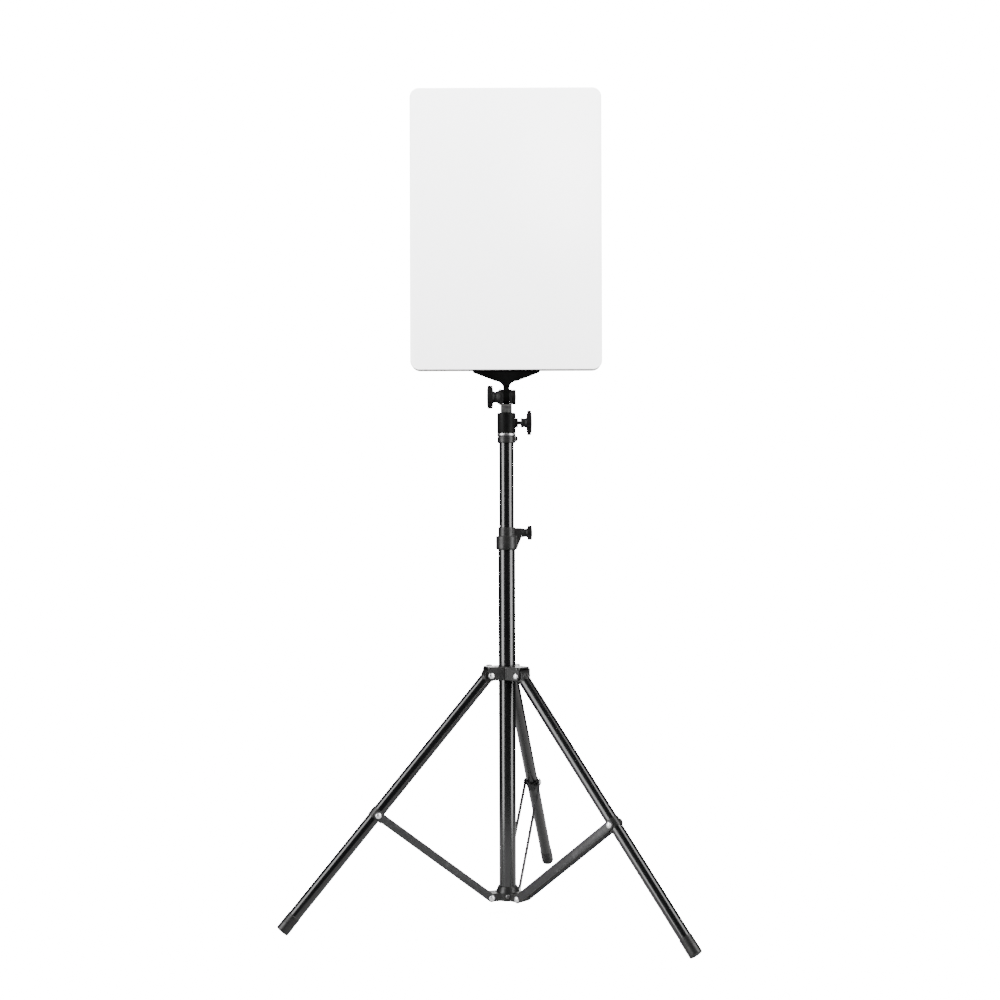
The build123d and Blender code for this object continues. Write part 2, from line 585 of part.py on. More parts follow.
def panel_foot():
    """Flared bracket under the light, with the flat stem that the fork clamps."""
    top = PANEL_BOTTOM - 0.2
    stem = STEM_THICK / 2
    with BuildPart() as foot:
        with BuildSketch(Plane.XZ):
            with BuildLine():
                line = [(stem, TILT_Z), (stem, TILT_Z + 14)]
                Line(line[0], line[1])
                RadiusArc(line[1], (14.3, top - 12.6), 11.0)
                Line((14.3, top - 12.6), (FOOT_TOP_HALF, top - 1.4))
                Line((FOOT_TOP_HALF, top - 1.4), (FOOT_TOP_HALF, top))
                Line((FOOT_TOP_HALF, top), (0, top))
                Line((0, top), (0, TILT_Z))
                Line((0, TILT_Z), line[0])
            make_face()
            mirror(about=Plane.YZ)
        extrude(amount=FOOT_HALF_DEPTH, both=True)
    body = foot.part
    side = STEM_WIDTH / 2
    trim = block(-STEM_THICK, STEM_THICK, -20, 20, TILT_Z - 1, TILT_Z + 14)
    trim -= block(-STEM_THICK, STEM_THICK, -side, side, TILT_Z - 2, TILT_Z + 15)
    body -= trim
    body += along((1, 0, 0), (-stem, 0, TILT_Z), STEM_THICK, side)
    body -= along((1, 0, 0), (-20, 0, TILT_Z), 40, TILT_BOLT_R + SCREW_GAP)
    for x in (-FOOT_SCREW_X, FOOT_SCREW_X):
        body -= rod(FOOT_SCREW_R, TILT_Z, top + 1, x, foot_screw_y())
        body -= rod(FOOT_SCREW_R + 1.6, TILT_Z, top - 4.2, x, foot_screw_y())
    return body


def foot_screw_y():
    """The bracket's screws go up behind the LED board."""
    return (board_back_y() + INSIDE_BACK_Y) / 2


def foot_screws():
    top = PANEL_BOTTOM - 0.2
    screws = []
    for x in (-FOOT_SCREW_X, FOOT_SCREW_X):
        shank = rod(FOOT_SCREW_R, top - 4.2, PANEL_BOTTOM + 8, x, foot_screw_y())
        screws.append(shank + rod(FOOT_SCREW_R + 1.4, top - 6.4, top - 4.2, x, foot_screw_y()))
    return screws


def control_window():
    """Half width, lowest and highest of the control plate on the back."""
    return 46.0, PANEL_BOTTOM + 70.0, PANEL_BOTTOM + 130.0


def control_spots():
    """Places on the back for the two dials, the button and the inlet."""
    half, low, high = control_window()
    middle = (low + high) / 2
    return {"brightness": (-26.0, middle - 10), "colour": (0.0, middle - 10),
            "button": (26.0, middle - 10), "inlet": (0.0, low - 26)}


def rear_housing():
    """White tray that carries everything in the light."""
    seat = PANEL_FRONT_Y + DIFFUSER_THICK
    shell = slab(panel_outline(0), seat, PANEL_BACK_Y)
    edge = shell.edges().group_by(Axis.Y)[-1]
    shell = fillet(edge, 3.0)
    shell -= slab(panel_outline(SHELL_WALL), seat - 1, INSIDE_BACK_Y)
    half, low, high = control_window()
    shell -= block(-half, half, INSIDE_BACK_Y - 1, PANEL_BACK_Y + 1, low, high)
    inlet_x, inlet_z = control_spots()["inlet"]
    shell -= along((0, 1, 0), (inlet_x, 0, inlet_z), 30, 4.6)
    for row in range(6):
        z = PANEL_TOP - 50 - row * 9
        for x in (-60, 0, 60):
            slot = Pos(x, PANEL_BACK_Y, z) * Rot(90, 0, 0) * extrude(SlotOverall(44, 3), 8, both=True)
            shell -= slot
    for x in (-FOOT_SCREW_X, FOOT_SCREW_X):
        shell += rod(FOOT_SCREW_R + 2.4, PANEL_BOTTOM + 1, PANEL_BOTTOM + 9, x, foot_screw_y())
        shell -= rod(FOOT_SCREW_R, PANEL_BOTTOM - 1, PANEL_BOTTOM + 10, x, foot_screw_y())
    for x, z in corner_spots():
        shell += along((0, 1, 0), (x, board_back_y(), z), INSIDE_BACK_Y + 0.5 - board_back_y(), 4.0)
        shell -= along((0, 1, 0), (x, PANEL_FRONT_Y, z), 60, BOARD_SCREW_R)
    return shell


def corner_spots():
    """The four screws that hold the LED board to the housing."""
    dx = PANEL_WIDTH / 2 - 16
    dz = PANEL_HEIGHT / 2 - 16
    return [(sx * dx, PANEL_MID_Z + sz * dz) for sx in (-1, 1) for sz in (-1, 1)]


def board_front_y():
    return PANEL_FRONT_Y + DIFFUSER_THICK + BOARD_BEHIND_DIFFUSER


def board_back_y():
    return board_front_y() + BOARD_THICK


def front_diffuser():
    """Opal sheet over the whole front, with a lip that locates in the housing."""
    sheet = slab(panel_outline(0.0), PANEL_FRONT_Y, PANEL_FRONT_Y + DIFFUSER_THICK)
    sheet = fillet(sheet.edges().group_by(Axis.Y)[0], 1.2)
    lip = slab(panel_outline(SHELL_WALL), PANEL_FRONT_Y + 1, PANEL_FRONT_Y + DIFFUSER_THICK + 1.5)
    lip -= slab(panel_outline(SHELL_WALL + 1.6), PANEL_FRONT_Y, PANEL_FRONT_Y + DIFFUSER_THICK + 3)
    return sheet + lip


def reflector_frame():
    """White frame between the board and the diffuser that keeps the light in."""
    front = PANEL_FRONT_Y + DIFFUSER_THICK + 1.5
    frame = slab(panel_outline(SHELL_WALL), front, board_front_y())
    return frame - slab(panel_outline(SHELL_WALL + 5), front - 1, board_front_y() + 1)


def led_board():
    board = slab(panel_outline(SHELL_WALL + 0.4), board_front_y(), board_back_y())
    for x, z in corner_spots():
        board -= along((0, 1, 0), (x, PANEL_FRONT_Y, z), 40, BOARD_SCREW_R)
    return board


def led_chips():
    """The LEDs, in a regular grid on the board."""
    chips = []
    y = board_front_y() - 0.5
    pitch_x = (PANEL_WIDTH - 36) / (LED_COLUMNS - 1)
    pitch_z = (PANEL_HEIGHT - 40) / (LED_ROWS - 1)
    for column in range(LED_COLUMNS):
        x = (column - (LED_COLUMNS - 1) / 2) * pitch_x
        for row in range(LED_ROWS):
            z = PANEL_MID_Z + (row - (LED_ROWS - 1) / 2) * pitch_z
            if all(hypot(x - sx, z - sz) > 6 for sx, sz in corner_spots()):
                chips.append(Pos(x, y, z) * Box(3.5, 1.0, 2.8))
    return chips


def driver_board():
    """Regulator board behind the controls, with its inductor and capacitors."""
    half, low, high = control_window()
    back = INSIDE_BACK_Y - 3.0
    board = block(-half + 4, half - 4, back - 1.6, back, low + 4, high - 4)
    front = back - 1.6
    board += along((0, -1, 0), (-18, front, high - 16), 3.2, 5.0)
    board += along((0, -1, 0), (14, front, high - 14), 3.6, 3.2)
    return board + along((0, -1, 0), (26, front, high - 14), 3.6, 3.2)


def control_plate():
    """Recessed plate on the back that carries the dials, the button and the display."""
    half, low, high = control_window()
    plate = block(-half, half, PANEL_BACK_Y - 2.6, PANEL_BACK_Y - 1.0, low, high)
    middle = high - 16
    plate -= block(-15, 15, PANEL_BACK_Y - 1.8, PANEL_BACK_Y, middle - 7, middle + 7)
    spots = control_spots()
    for name in ("brightness", "colour"):
        x, z = spots[name]
        plate -= along((0, 1, 0), (x, 0, z), 30, 3.2)
    x, z = spots["button"]
    return plate - along((0, 1, 0), (x, 0, z), 30, 5.2)


def display_window():
    half, low, high = control_window()
    middle = high - 16
    return block(-15, 15, PANEL_BACK_Y - 1.8, PANEL_BACK_Y - 0.8, middle - 7, middle + 7)


def dc_inlet():
    """Round power inlet in the back, a barrel with a centre pin."""
    x, z = control_spots()["inlet"]
    barrel = along((0, 1, 0), (x, INSIDE_BACK_Y - 6, z), PANEL_BACK_Y - INSIDE_BACK_Y + 6.0, 4.6)
    barrel += along((0, 1, 0), (x, INSIDE_BACK_Y - 6, z), 6.0, 6.0)
    barrel -= along((0, 1, 0), (x, INSIDE_BACK_Y - 4, z), 12, 2.8)
    return barrel + along((0, 1, 0), (x, INSIDE_BACK_Y - 5, z), 6.5, 0.9)


def housing_screws():
    """Screws from the board into the housing's corner posts."""
    screws = []
    for x, z in corner_spots():
        screw = along((0, 1, 0), (x, board_front_y(), z), 9.0, BOARD_SCREW_R)
        screws.append(screw + along((0, -1, 0), (x, board_front_y(), z), 1.8, 2.8))
    return screws


def dial(name):
    """Knurled dial on a shaft through the control plate."""
    x, z = control_spots()[name]
    knob = Cylinder(8.0, 7.0)
    for turn in range(18):
        knob -= Rot(0, 0, turn * 20 + 7) * Pos(8.4, 0, 0) * Cylinder(0.8, 9)
    knob = Plane(origin=(x, PANEL_BACK_Y + 3.2, z), z_dir=(0, 1, 0)).location * knob
    knob += along((0, 1, 0), (x, PANEL_BACK_Y - 3.4, z), 4.0, 2.9)
    return knob - block(x - 0.5, x + 0.5, PANEL_BACK_Y + 6.0, PANEL_BACK_Y + 8, z + 1, z + 7.6)


def power_button():
    x, z = control_spots()["button"]
    button = along((0, 1, 0), (x, PANEL_BACK_Y - 2.6, z), 4.2, 4.9)
    return fillet(button.edges().group_by(Axis.Y)[-1], 0.6)


# ---- All nodes ----
def nodes():
    made = {
        "outer_tube": outer_tube(), "spreader_hub": spreader_hub(), "hub_screw": hub_screw(),
        "column_end_plug": column_end_plug(), "mid_lock_collar": mid_lock_collar(),
        "mid_lock_screw": mid_lock_screw(), "mid_lock_knob": mid_lock_knob(),
        "leg_collar": leg_collar(), "leg_collar_rivets": leg_collar_rivets(),
        "leg_lock_screw": leg_lock_screw(), "leg_lock_knob": leg_lock_knob(),
        "middle_tube": middle_tube(), "middle_guide_bush": middle_guide_bush(),
        "top_lock_collar": top_lock_collar(), "top_lock_knob": top_lock_knob(),
        "top_tube": top_tube(), "top_guide_bush": top_guide_bush(), "spigot": spigot(),
        "head_socket": head_socket(), "tilt_fork": tilt_fork(), "fork_screw": fork_screw(),
        "tilt_nut": tilt_nut(), "tilt_bolt": tilt_bolt(), "tilt_knob": tilt_knob(),
        "clamp_screw": clamp_screw(), "clamp_knob": clamp_knob(),
        "panel_foot": panel_foot(), "foot_screws": foot_screws(), "rear_housing": rear_housing(),
        "front_diffuser": front_diffuser(), "reflector_frame": reflector_frame(),
        "led_board": led_board(), "led_chips": led_chips(), "driver_board": driver_board(),
        "control_plate": control_plate(), "display_window": display_window(),
        "dc_inlet": dc_inlet(), "housing_screws": housing_screws(),
        "brightness_dial": dial("brightness"), "colour_dial": dial("colour"),
        "power_button": power_button(),
    }
    for name, azimuth in LEG_AZIMUTHS.items():
        made["leg_tube_" + name] = leg_tube(azimuth)
        made["leg_knuckle_" + name] = leg_knuckle(azimuth)
        made["leg_foot_" + name] = leg_foot(azimuth)
        made["leg_clip_" + name] = leg_clip(azimuth)
        made["brace_bars_" + name] = brace_bars(azimuth)
        made["brace_rivets_" + name] = brace_rivets(azimuth)
    return made


def write(name, shape):
    """One file for a node, as one solid or as a group of separate solids."""
    if isinstance(shape, list):
        shape = Compound(children=[solid for piece in shape for solid in piece.solids()])
    export_step(shape, os.path.join("parts", name + ".step"))


if __name__ == "__main__":
    os.makedirs("parts", exist_ok=True)
    for node_name, node_shape in nodes().items():
        write(node_name, node_shape)
    print("fold travel", round(FOLD_TRAVEL, 3), "brace", round(BRACE_LENGTH, 3),
          "brace rise", round(BRACE_RISE, 3))
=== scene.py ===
import json
import math

import bmesh
import bpy
from mathutils import Matrix, Vector


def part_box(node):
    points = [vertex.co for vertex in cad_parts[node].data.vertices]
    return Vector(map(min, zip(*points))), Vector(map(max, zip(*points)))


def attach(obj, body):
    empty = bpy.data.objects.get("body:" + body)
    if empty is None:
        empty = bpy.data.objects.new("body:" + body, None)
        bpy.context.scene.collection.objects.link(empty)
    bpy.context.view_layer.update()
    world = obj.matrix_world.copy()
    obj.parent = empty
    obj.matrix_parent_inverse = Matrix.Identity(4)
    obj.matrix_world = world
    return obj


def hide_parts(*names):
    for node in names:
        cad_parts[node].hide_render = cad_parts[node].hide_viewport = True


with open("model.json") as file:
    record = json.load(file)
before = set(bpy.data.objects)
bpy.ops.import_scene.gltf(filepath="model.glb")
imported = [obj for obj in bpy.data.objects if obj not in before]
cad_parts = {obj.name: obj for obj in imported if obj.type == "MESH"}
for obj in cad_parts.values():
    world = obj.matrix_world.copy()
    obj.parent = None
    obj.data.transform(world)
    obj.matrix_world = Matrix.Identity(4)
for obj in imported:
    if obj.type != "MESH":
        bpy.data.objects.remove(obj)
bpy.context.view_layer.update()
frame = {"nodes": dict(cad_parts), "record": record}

bl_info = {
    "name": "Panel light on a folding stand",
    "version": (1, 0, 0),
    "blender": (4, 5, 0),
    "location": "View3D > Sidebar > Panel light",
    "description": "Builds the finished surfaces of an LED panel light and its folding stand",
    "category": "Object",
}

MM = 0.001
JOINTS = {joint["name"]: joint for joint in frame["record"]["behaviour"]["joints"]}
LEGS = ("left", "right", "rear")
UP = (0, 0, 1)
ROUND = 72                    # steps round a tube or a foot
FINE = 40                     # steps round a rivet
KNOB_STEPS = 56               # steps round a knob's hub
CUT_GAP = 1e-7                # how near a cutting plane a vertex counts as on it, in metres

TUBE_WALLS = {"outer_tube": ("column", 1.0 * MM), "middle_tube": ("middle_riser", 0.9 * MM),
              "top_tube": ("top_riser", 0.8 * MM)}
LEG_RADIUS = 8 * MM
LEG_WALL = 0.9 * MM
LEG_START = 9.5 * MM          # from the leg's pivot to the top of its tube
LEG_IN_FOOT = 8 * MM          # how far the tube runs past the middle of its foot
BAR_THICK = 1.6 * MM
BAR_HALF_WIDTH = 5.3 * MM
BAR_OFFSET = 10.0 * MM        # from the brace's middle to the middle of each bar's thickness
SHANK_RADIUS = 2 * MM
RIVET_DOME = 2 * MM           # height of a rivet's head
BRACE_STACK = 10.8 * MM       # half of what a brace's rivet goes through
COLLAR_STACK = 12 * MM        # half of what a collar's rivet goes through
SHORT_RIVET_END = 9.2 * MM    # where the short rivets end inside the bars
FORK_CHEEK = 4.35 * MM        # half the gap of the fork in the model
FORK_CHEEK_CLOSED = 4.04 * MM     # half the gap once the cheeks all but touch the bracket's stem
DIAL_MARKS = 11
DIAL_MARK_RING = 10.4 * MM

KNOBS = {
    # in mm: hub length, base radius, waist radius, bar length, bar width, bar depth; then the wings' taper
    "tilt_clamp_knob": (9.6, 11.0, 6.6, 30, 8.6, 8.2, 0.0),
    "socket_clamp_knob": (7.2, 6.4, 5.5, 32, 8.2, 7.5, 0.12),
    "mid_clamp_knob": (7.0, 6.2, 5.2, 17, 9.5, 6.6, 0.1),
    "leg_clamp_knob": (9.0, 5.2, 4.2, 20, 7.2, 6.5, 0.0),
}

SOFTBOXES = {
    # place, size, power as a share of the setting, and whether glossy surfaces mirror it
    "left_softbox": ((-1.9, -1.1, 1.15), (1.35, 3.5), 1.0, True),
    "right_softbox": ((1.95, -1.0, 1.15), (1.35, 3.5), 0.92, True),
    "key_softbox": ((0, -1.9, 3.0), (1.5, 1.2), 4.4, False),
    "rear_softbox": ((0.6, 2.6, 1.5), (1.6, 1.6), 0.5, True),
}
LIGHTS_AIM = (0, 0, 0.65)
PAPER_GLOW = 15.0             # light that the floor sends to the camera
PAPER_SHADE = 0.2             # the floor's grey for everything else
ROOM_GLOW = 0.03
BACKDROP_GLOW = 21.0
CAMERA_PLACE = (0, -1.993, 0.5296)
CAMERA_TURN = (-0.0043, 0.0046, 0.0030)   # yaw, pitch and roll in radians
CAMERA_LENS = 55.19


# ---------------------------------------------------------------- places from the frame

def low(node):
    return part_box(node)[0]


def high(node):
    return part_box(node)[1]


def middle(node):
    return (Vector(low(node)) + Vector(high(node))) / 2


def frame_at(origin, along, side=None):
    """A matrix whose Z runs along a direction, and whose X is as near as it can be to side."""
    z_dir = Vector(along).normalized()
    hint = Vector(side) if side else z_dir.orthogonal()
    y_dir = z_dir.cross(hint).normalized()
    x_dir = y_dir.cross(z_dir)
    turned = Matrix((x_dir, y_dir, z_dir)).transposed().to_4x4()
    return Matrix.Translation(Vector(origin)) @ turned


def leg_place(name):
    """The leg's pivot, its outward and sideways directions, and the way it runs down to its foot."""
    joint = JOINTS["leg_%s_fold" % name]
    pivot = Vector(joint["pos_m"])
    side = Vector(joint["axis"]).normalized()
    out = side.cross(Vector((0, 0, 1)))
    tilt = math.radians(joint["range_deg"][1])
    return pivot, out, side, out * math.sin(tilt) - Vector((0, 0, math.cos(tilt)))


def brace_place(name):
    """The brace's pivot at the hub, its sideways direction, and the way it runs up to the leg."""
    joint = JOINTS["brace_%s_fold" % name]
    pivot = Vector(joint["pos_m"])
    out = leg_place(name)[1]
    rise = math.radians(90 - joint["range_deg"][1])
    return pivot, leg_place(name)[2], out * math.cos(rise) + Vector((0, 0, math.sin(rise)))


# ---------------------------------------------------------------- mesh tools

def finished(name, bm, place=None, sharp=32.0):
    """An object from a bmesh, at the origin, with smooth faces split at its sharp edges."""
    if place is not None:
        bmesh.ops.transform(bm, matrix=place, verts=bm.verts)
    mesh = bpy.data.meshes.new(name)
    bm.to_mesh(mesh)
    bm.free()
    mesh.shade_smooth()
    mesh.set_sharp_from_angle(angle=math.radians(sharp))
    piece = bpy.data.objects.new(name, mesh)
    bpy.context.scene.collection.objects.link(piece)
    return piece


def add_lathe(bm, profile, steps=ROUND, place=None, ring=False):
    """Spins an outline of (radius, height) points about Z. A ring's outline is closed on itself."""
    part = bmesh.new()
    verts = [part.verts.new((radius, 0, height)) for radius, height in profile]
    pairs = list(zip(verts, verts[1:] + verts[:1])) if ring else list(zip(verts, verts[1:]))
    edges = [part.edges.new(pair) for pair in pairs]
    bmesh.ops.spin(part, geom=verts + edges, cent=(0, 0, 0), axis=(0, 0, 1), angle=2 * math.pi,
                   steps=steps, use_merge=True)
    bmesh.ops.remove_doubles(part, verts=part.verts, dist=1e-6)
    bmesh.ops.recalc_face_normals(part, faces=part.faces)
    join(bm, part, place)


def join(bm, part, place=None):
    """Adds one bmesh's faces to another."""
    if place is not None:
        bmesh.ops.transform(part, matrix=place, verts=part.verts)
    scratch = bpy.data.meshes.new("scratch")
    part.to_mesh(scratch)
    part.free()
    bm.from_mesh(scratch)
    bpy.data.meshes.remove(scratch)


def arc(centre_r, centre_h, radius, start, end, count):
    """Points of an arc in an outline, by degrees from +radius towards +height."""
    turn = [math.radians(start + (end - start) * i / count) for i in range(count + 1)]
    return [(centre_r + radius * math.cos(a), centre_h + radius * math.sin(a)) for a in turn]


def tube(name, radius, wall, start, end, place=None):
    """A tube with broken edges at both ends."""
    edge = min(0.3 * MM, wall / 3)
    inner = radius - wall
    outline = [(inner, start + edge), (inner + edge, start),
               (radius - edge, start), (radius, start + edge),
               (radius, end - edge), (radius - edge, end),
               (inner + edge, end), (inner, end - edge)]
    bm = bmesh.new()
    add_lathe(bm, outline, ring=True)
    return finished(name, bm, place)


def copied(node):
    """A bmesh of a CAD node, with its loose triangles merged."""
    bm = bmesh.new()
    bm.from_mesh(frame["nodes"][node].data)
    bmesh.ops.remove_doubles(bm, verts=bm.verts, dist=2e-6)
    return bm


def rolled(bm, edges, width, segments, clamped=True):
    """Rolls edges over with a bevel."""
    bmesh.ops.bevel(bm, geom=edges, offset=width, offset_type="OFFSET", segments=segments, profile=0.5,
                    affect="EDGES", clamp_overlap=clamped, material=-1)


def softened(node, width, closed=None):
    """A copy of a simple CAD node with its edges broken by a bevel.

    closed, a pair of distances from the middle, moves the cheeks at the first one in to the second.
    """
    bm = copied(node)
    for vert in bm.verts:
        if closed and abs(abs(vert.co.x) - closed[0]) < 0.02 * MM:
            vert.co.x = math.copysign(closed[1], vert.co.x)
    edges = [e for e in bm.edges if len(e.link_faces) == 2 and e.calc_face_angle() > math.radians(30.0)]
    rolled(bm, edges, width, 2, clamped=False)
    piece = finished(node + "_finished", bm, sharp=20.0)
    even = piece.modifiers.new("even_shading", "WEIGHTED_NORMAL")
    even.weight = 100
    even.keep_sharp = True
    return piece


def moulded(node, grain):
    """A copy of an intricate CAD node, remeshed evenly and then relaxed, so that each edge rolls over."""
    piece = finished(node + "_moulded", copied(node))
    even = piece.modifiers.new("even", "REMESH")
    even.mode = "VOXEL"
    even.voxel_size = grain
    relaxed = piece.modifiers.new("relaxed", "SMOOTH")
    relaxed.factor = 0.5
    relaxed.iterations = 4
    graph = bpy.context.evaluated_depsgraph_get()
    mesh = bpy.data.meshes.new_from_object(piece.evaluated_get(graph))
    piece.modifiers.clear()
    piece.data = mesh
    mesh.shade_smooth()
    return piece


def rivet_outline(radius, half, head_radius, head_height):
    """A rivet through a stack: a shank with a domed head and a small brim at each end."""
    top = [(radius, half), (head_radius, half), (head_radius, half + 0.25 * head_height)]
    dome = [(head_radius * math.cos(a), half + head_height * (0.25 + 0.75 * math.sin(a)))
            for a in [math.radians(d) for d in range(15, 90, 15)]]
    upper = top + dome + [(0, half + head_height)]
    return [(r, -h) for r, h in reversed(upper)] + upper


# ---------------------------------------------------------------- shader tools

class Wire:
    """A shader value that can be used in sums."""

    def __init__(self, finish, socket):
        self.finish = finish
        self.socket = socket

    def sum(self, operation, first, second):
        return self.finish.node("ShaderNodeMath", {"operation": operation}, {0: first, 1: second})

    def __add__(self, other):
        return self.sum("ADD", self, other)

    def __radd__(self, other):
        return self.sum("ADD", other, self)

    def __sub__(self, other):
        return self.sum("SUBTRACT", self, other)

    def __rsub__(self, other):
        return self.sum("SUBTRACT", other, self)

    def __mul__(self, other):
        return self.sum("MULTIPLY", self, other)

    def __rmul__(self, other):
        return self.sum("MULTIPLY", other, self)

    def __truediv__(self, other):
        return self.sum("DIVIDE", self, other)

    def __pow__(self, other):
        return self.sum("POWER", self, other)


class Finish:
    """One procedural material, with a Principled shader and a place on the object."""

    def __init__(self, name):
        self.material = bpy.data.materials.new(name)
        self.material.use_nodes = True
        self.tree = self.material.node_tree
        self.tree.nodes.clear()
        self.shader = self.tree.nodes.new("ShaderNodeBsdfPrincipled")
        output = self.tree.nodes.new("ShaderNodeOutputMaterial")
        self.tree.links.new(self.shader.outputs[0], output.inputs["Surface"])
        place = self.tree.nodes.new("ShaderNodeTexCoord")
        self.place = Wire(self, place.outputs["Object"])

    def node(self, kind, settings, sockets, out=0):
        """Adds a node, sets what it is, then its values and links, and gives one output."""
        made = self.tree.nodes.new(kind)
        for key, value in settings.items():
            setattr(made, key, value)
        for key, value in sockets.items():
            self.put(made.inputs[key], value)
        return Wire(self, made.outputs[out])

    def put(self, socket, value):
        if isinstance(value, Wire):
            self.tree.links.new(value.socket, socket)
        else:
            socket.default_value = value

    def set(self, **sockets):
        """Sets the shader's sockets; an underscore stands for a space."""
        for key, value in sockets.items():
            self.put(self.shader.inputs[key.replace("_", " ")], value)

    def stretched(self, scale):
        """The place on the object, scaled along X, Y and Z."""
        return self.node("ShaderNodeMapping", {"vector_type": "POINT"},
                         {"Vector": self.place, "Scale": scale})

    def noise(self, scale, detail, rough, where=None):
        return self.node("ShaderNodeTexNoise", {"noise_dimensions": "3D"},
                         {"Vector": where or self.place, "Scale": scale, "Detail": detail,
                          "Roughness": rough})

    def cells(self, scale):
        return self.node("ShaderNodeTexVoronoi", {"feature": "F1"},
                         {"Vector": self.place, "Scale": scale})

    def range(self, value, from_low, from_high, to_low, to_high):
        """Carries a value smoothly from one span to another."""
        return self.node("ShaderNodeMapRange", {"interpolation_type": "SMOOTHSTEP"},
                         {"Value": value, "From Min": from_low, "From Max": from_high,
                          "To Min": to_low, "To Max": to_high})

    def mix(self, factor, first, second):
        """Goes from the first colour to the second."""
        colours = [c if isinstance(c, Wire) else (*c, 1.0) for c in (first, second)]
        return self.node("ShaderNodeMix", {"data_type": "RGBA"},
                         {"Factor": factor, 6: colours[0], 7: colours[1]}, out=2)

    def bump(self, height, strength, distance):
        normal = self.node("ShaderNodeBump", {}, {"Height": height, "Strength": strength,
                                                  "Distance": distance})
        self.put(self.shader.inputs["Normal"], normal)

    def axes(self):
        """The X, Y and Z of a place on the object."""
        made = self.tree.nodes.new("ShaderNodeSeparateXYZ")
        self.tree.links.new(self.place.socket, made.inputs[0])
        return [Wire(self, made.outputs[i]) for i in range(3)]


def use(piece, finish):
    """Gives a piece one finish."""
    piece.data.materials.clear()
    piece.data.materials.append(finish.material)


def keep(node, finish):
    """Gives a CAD node that stays a better finish."""
    for slot in frame["nodes"][node].material_slots:
        slot.material = finish.material


# ---------------------------------------------------------------- finishes

def gloss_black(name, coat):
    """Gloss black paint on drawn tube: slow ripples, fine draw lines along the tube, light dust."""
    made = Finish(name)
    lines = made.noise(900, 3, 0.6, made.stretched((1, 1, 0.012)))
    ripple = made.noise(55, 2, 0.45, made.stretched((1, 1, 0.25)))
    peel = made.noise(1400, 2, 0.5)
    smudge = made.noise(18, 4, 0.62)
    dust = made.range(made.noise(2600, 1, 0.5), 0.68, 0.78, 0.0, 1.0)
    body = made.mix(smudge, (0.0005, 0.0005, 0.0006), (0.0014, 0.0014, 0.0015))
    made.set(Base_Color=made.mix(dust * 0.1, body, (0.04, 0.038, 0.036)),
             Roughness=made.range(smudge, 0.3, 0.75, 0.2, 0.28) + lines * 0.03,
             Coat_Weight=made.range(smudge, 0.35, 0.8, coat, coat * 0.82),
             Coat_Roughness=0.18, Specular_IOR_Level=0.4 * coat)
    made.bump(lines * 0.2 + ripple * 0.8 + peel * 0.08, 0.06, 0.0003)
    return made


def satin_black(name, shade, rough, grain, sheen):
    """Moulded black nylon: fine spark grain, flow marks and slightly rubbed high spots."""
    made = Finish(name)
    spark = made.noise(2300, 2, 0.55)
    cells = made.cells(1500)
    flow = made.noise(42, 4, 0.6)
    rubbed = made.range(made.noise(160, 3, 0.7), 0.55, 0.78, 0.0, 1.0)
    body = made.mix(flow, (shade * 0.7,) * 3, (shade * 1.5, shade * 1.46, shade * 1.44))
    made.set(Base_Color=made.mix(rubbed * 0.3, body, (shade * 3.4, shade * 3.3, shade * 3.2)),
             Roughness=made.range(flow, 0.3, 0.75, rough - 0.06, rough + 0.1) - rubbed * 0.06,
             Specular_IOR_Level=sheen)
    made.bump(spark * 0.6 + cells * 0.5, 0.22 * grain, 0.00012)
    return made


def fork_black(name):
    """Black casting whose floor is rubbed down to mottled grey metal."""
    made = Finish(name)
    z = made.axes()[2]
    floor = high("head_socket")[2] + 11 * MM
    blast = made.noise(1900, 3, 0.6)
    cloud = made.noise(260, 4, 0.65)
    bare = made.range(z + cloud * (5 * MM), floor, floor + 3 * MM, 1.0, 0.0)
    metal = made.mix(cloud, (0.03, 0.03, 0.03), (0.17, 0.17, 0.165))
    made.set(Base_Color=made.mix(bare, (0.002, 0.002, 0.002), metal), Metallic=bare * 0.9,
             Roughness=made.range(cloud, 0.3, 0.7, 0.36, 0.5), Specular_IOR_Level=0.25)
    made.bump(blast, 0.2, 0.00012)
    return made


def bright_metal(name, shade, rough, turned=True):
    """Turned or rolled bright metal with fine rings and a few dull spots."""
    made = Finish(name)
    spin = made.node("ShaderNodeTexWave", {"wave_type": "BANDS", "bands_direction": "Z"},
                     {"Vector": made.place, "Scale": 900 if turned else 200, "Distortion": 2.0,
                      "Detail": 2.0})
    dull = made.noise(420, 3, 0.65)
    made.set(Base_Color=made.mix(dull, (shade * 0.8,) * 3, (shade, shade, shade * 1.01)),
             Metallic=1.0, Roughness=made.range(dull, 0.3, 0.8, rough, rough + 0.16))
    made.bump(spin * 0.4 + dull * 0.5, 0.1, 0.00008)
    return made


def bar_paint(name):
    """Thin satin paint on rolled strip: streaks along the strip and small rubbed patches."""
    made = Finish(name)
    patch = made.noise(120, 5, 0.68)
    fleck = made.noise(900, 2, 0.6)
    rub = made.range(patch, 0.52, 0.72, 0.0, 1.0)
    body = made.mix(fleck, (0.008, 0.008, 0.0085), (0.022, 0.022, 0.0225))
    made.set(Base_Color=made.mix(rub * 0.4, body, (0.07, 0.07, 0.071)), Metallic=0.3,
             Roughness=made.range(patch, 0.3, 0.7, 0.3, 0.5))
    made.bump(patch * 0.6 + fleck * 0.3, 0.16, 0.0002)
    return made


def rubber_black(name):
    """Moulded rubber with a matt skin and dust in its grain."""
    made = Finish(name)
    grain = made.noise(1300, 3, 0.6)
    dust = made.range(made.noise(95, 4, 0.7), 0.5, 0.8, 0.0, 0.35)
    made.set(Base_Color=made.mix(dust, (0.0015, 0.0015, 0.0015), (0.012, 0.0115, 0.011)),
             Roughness=made.range(grain, 0.3, 0.7, 0.34, 0.46))
    made.bump(grain, 0.2, 0.00015)
    return made


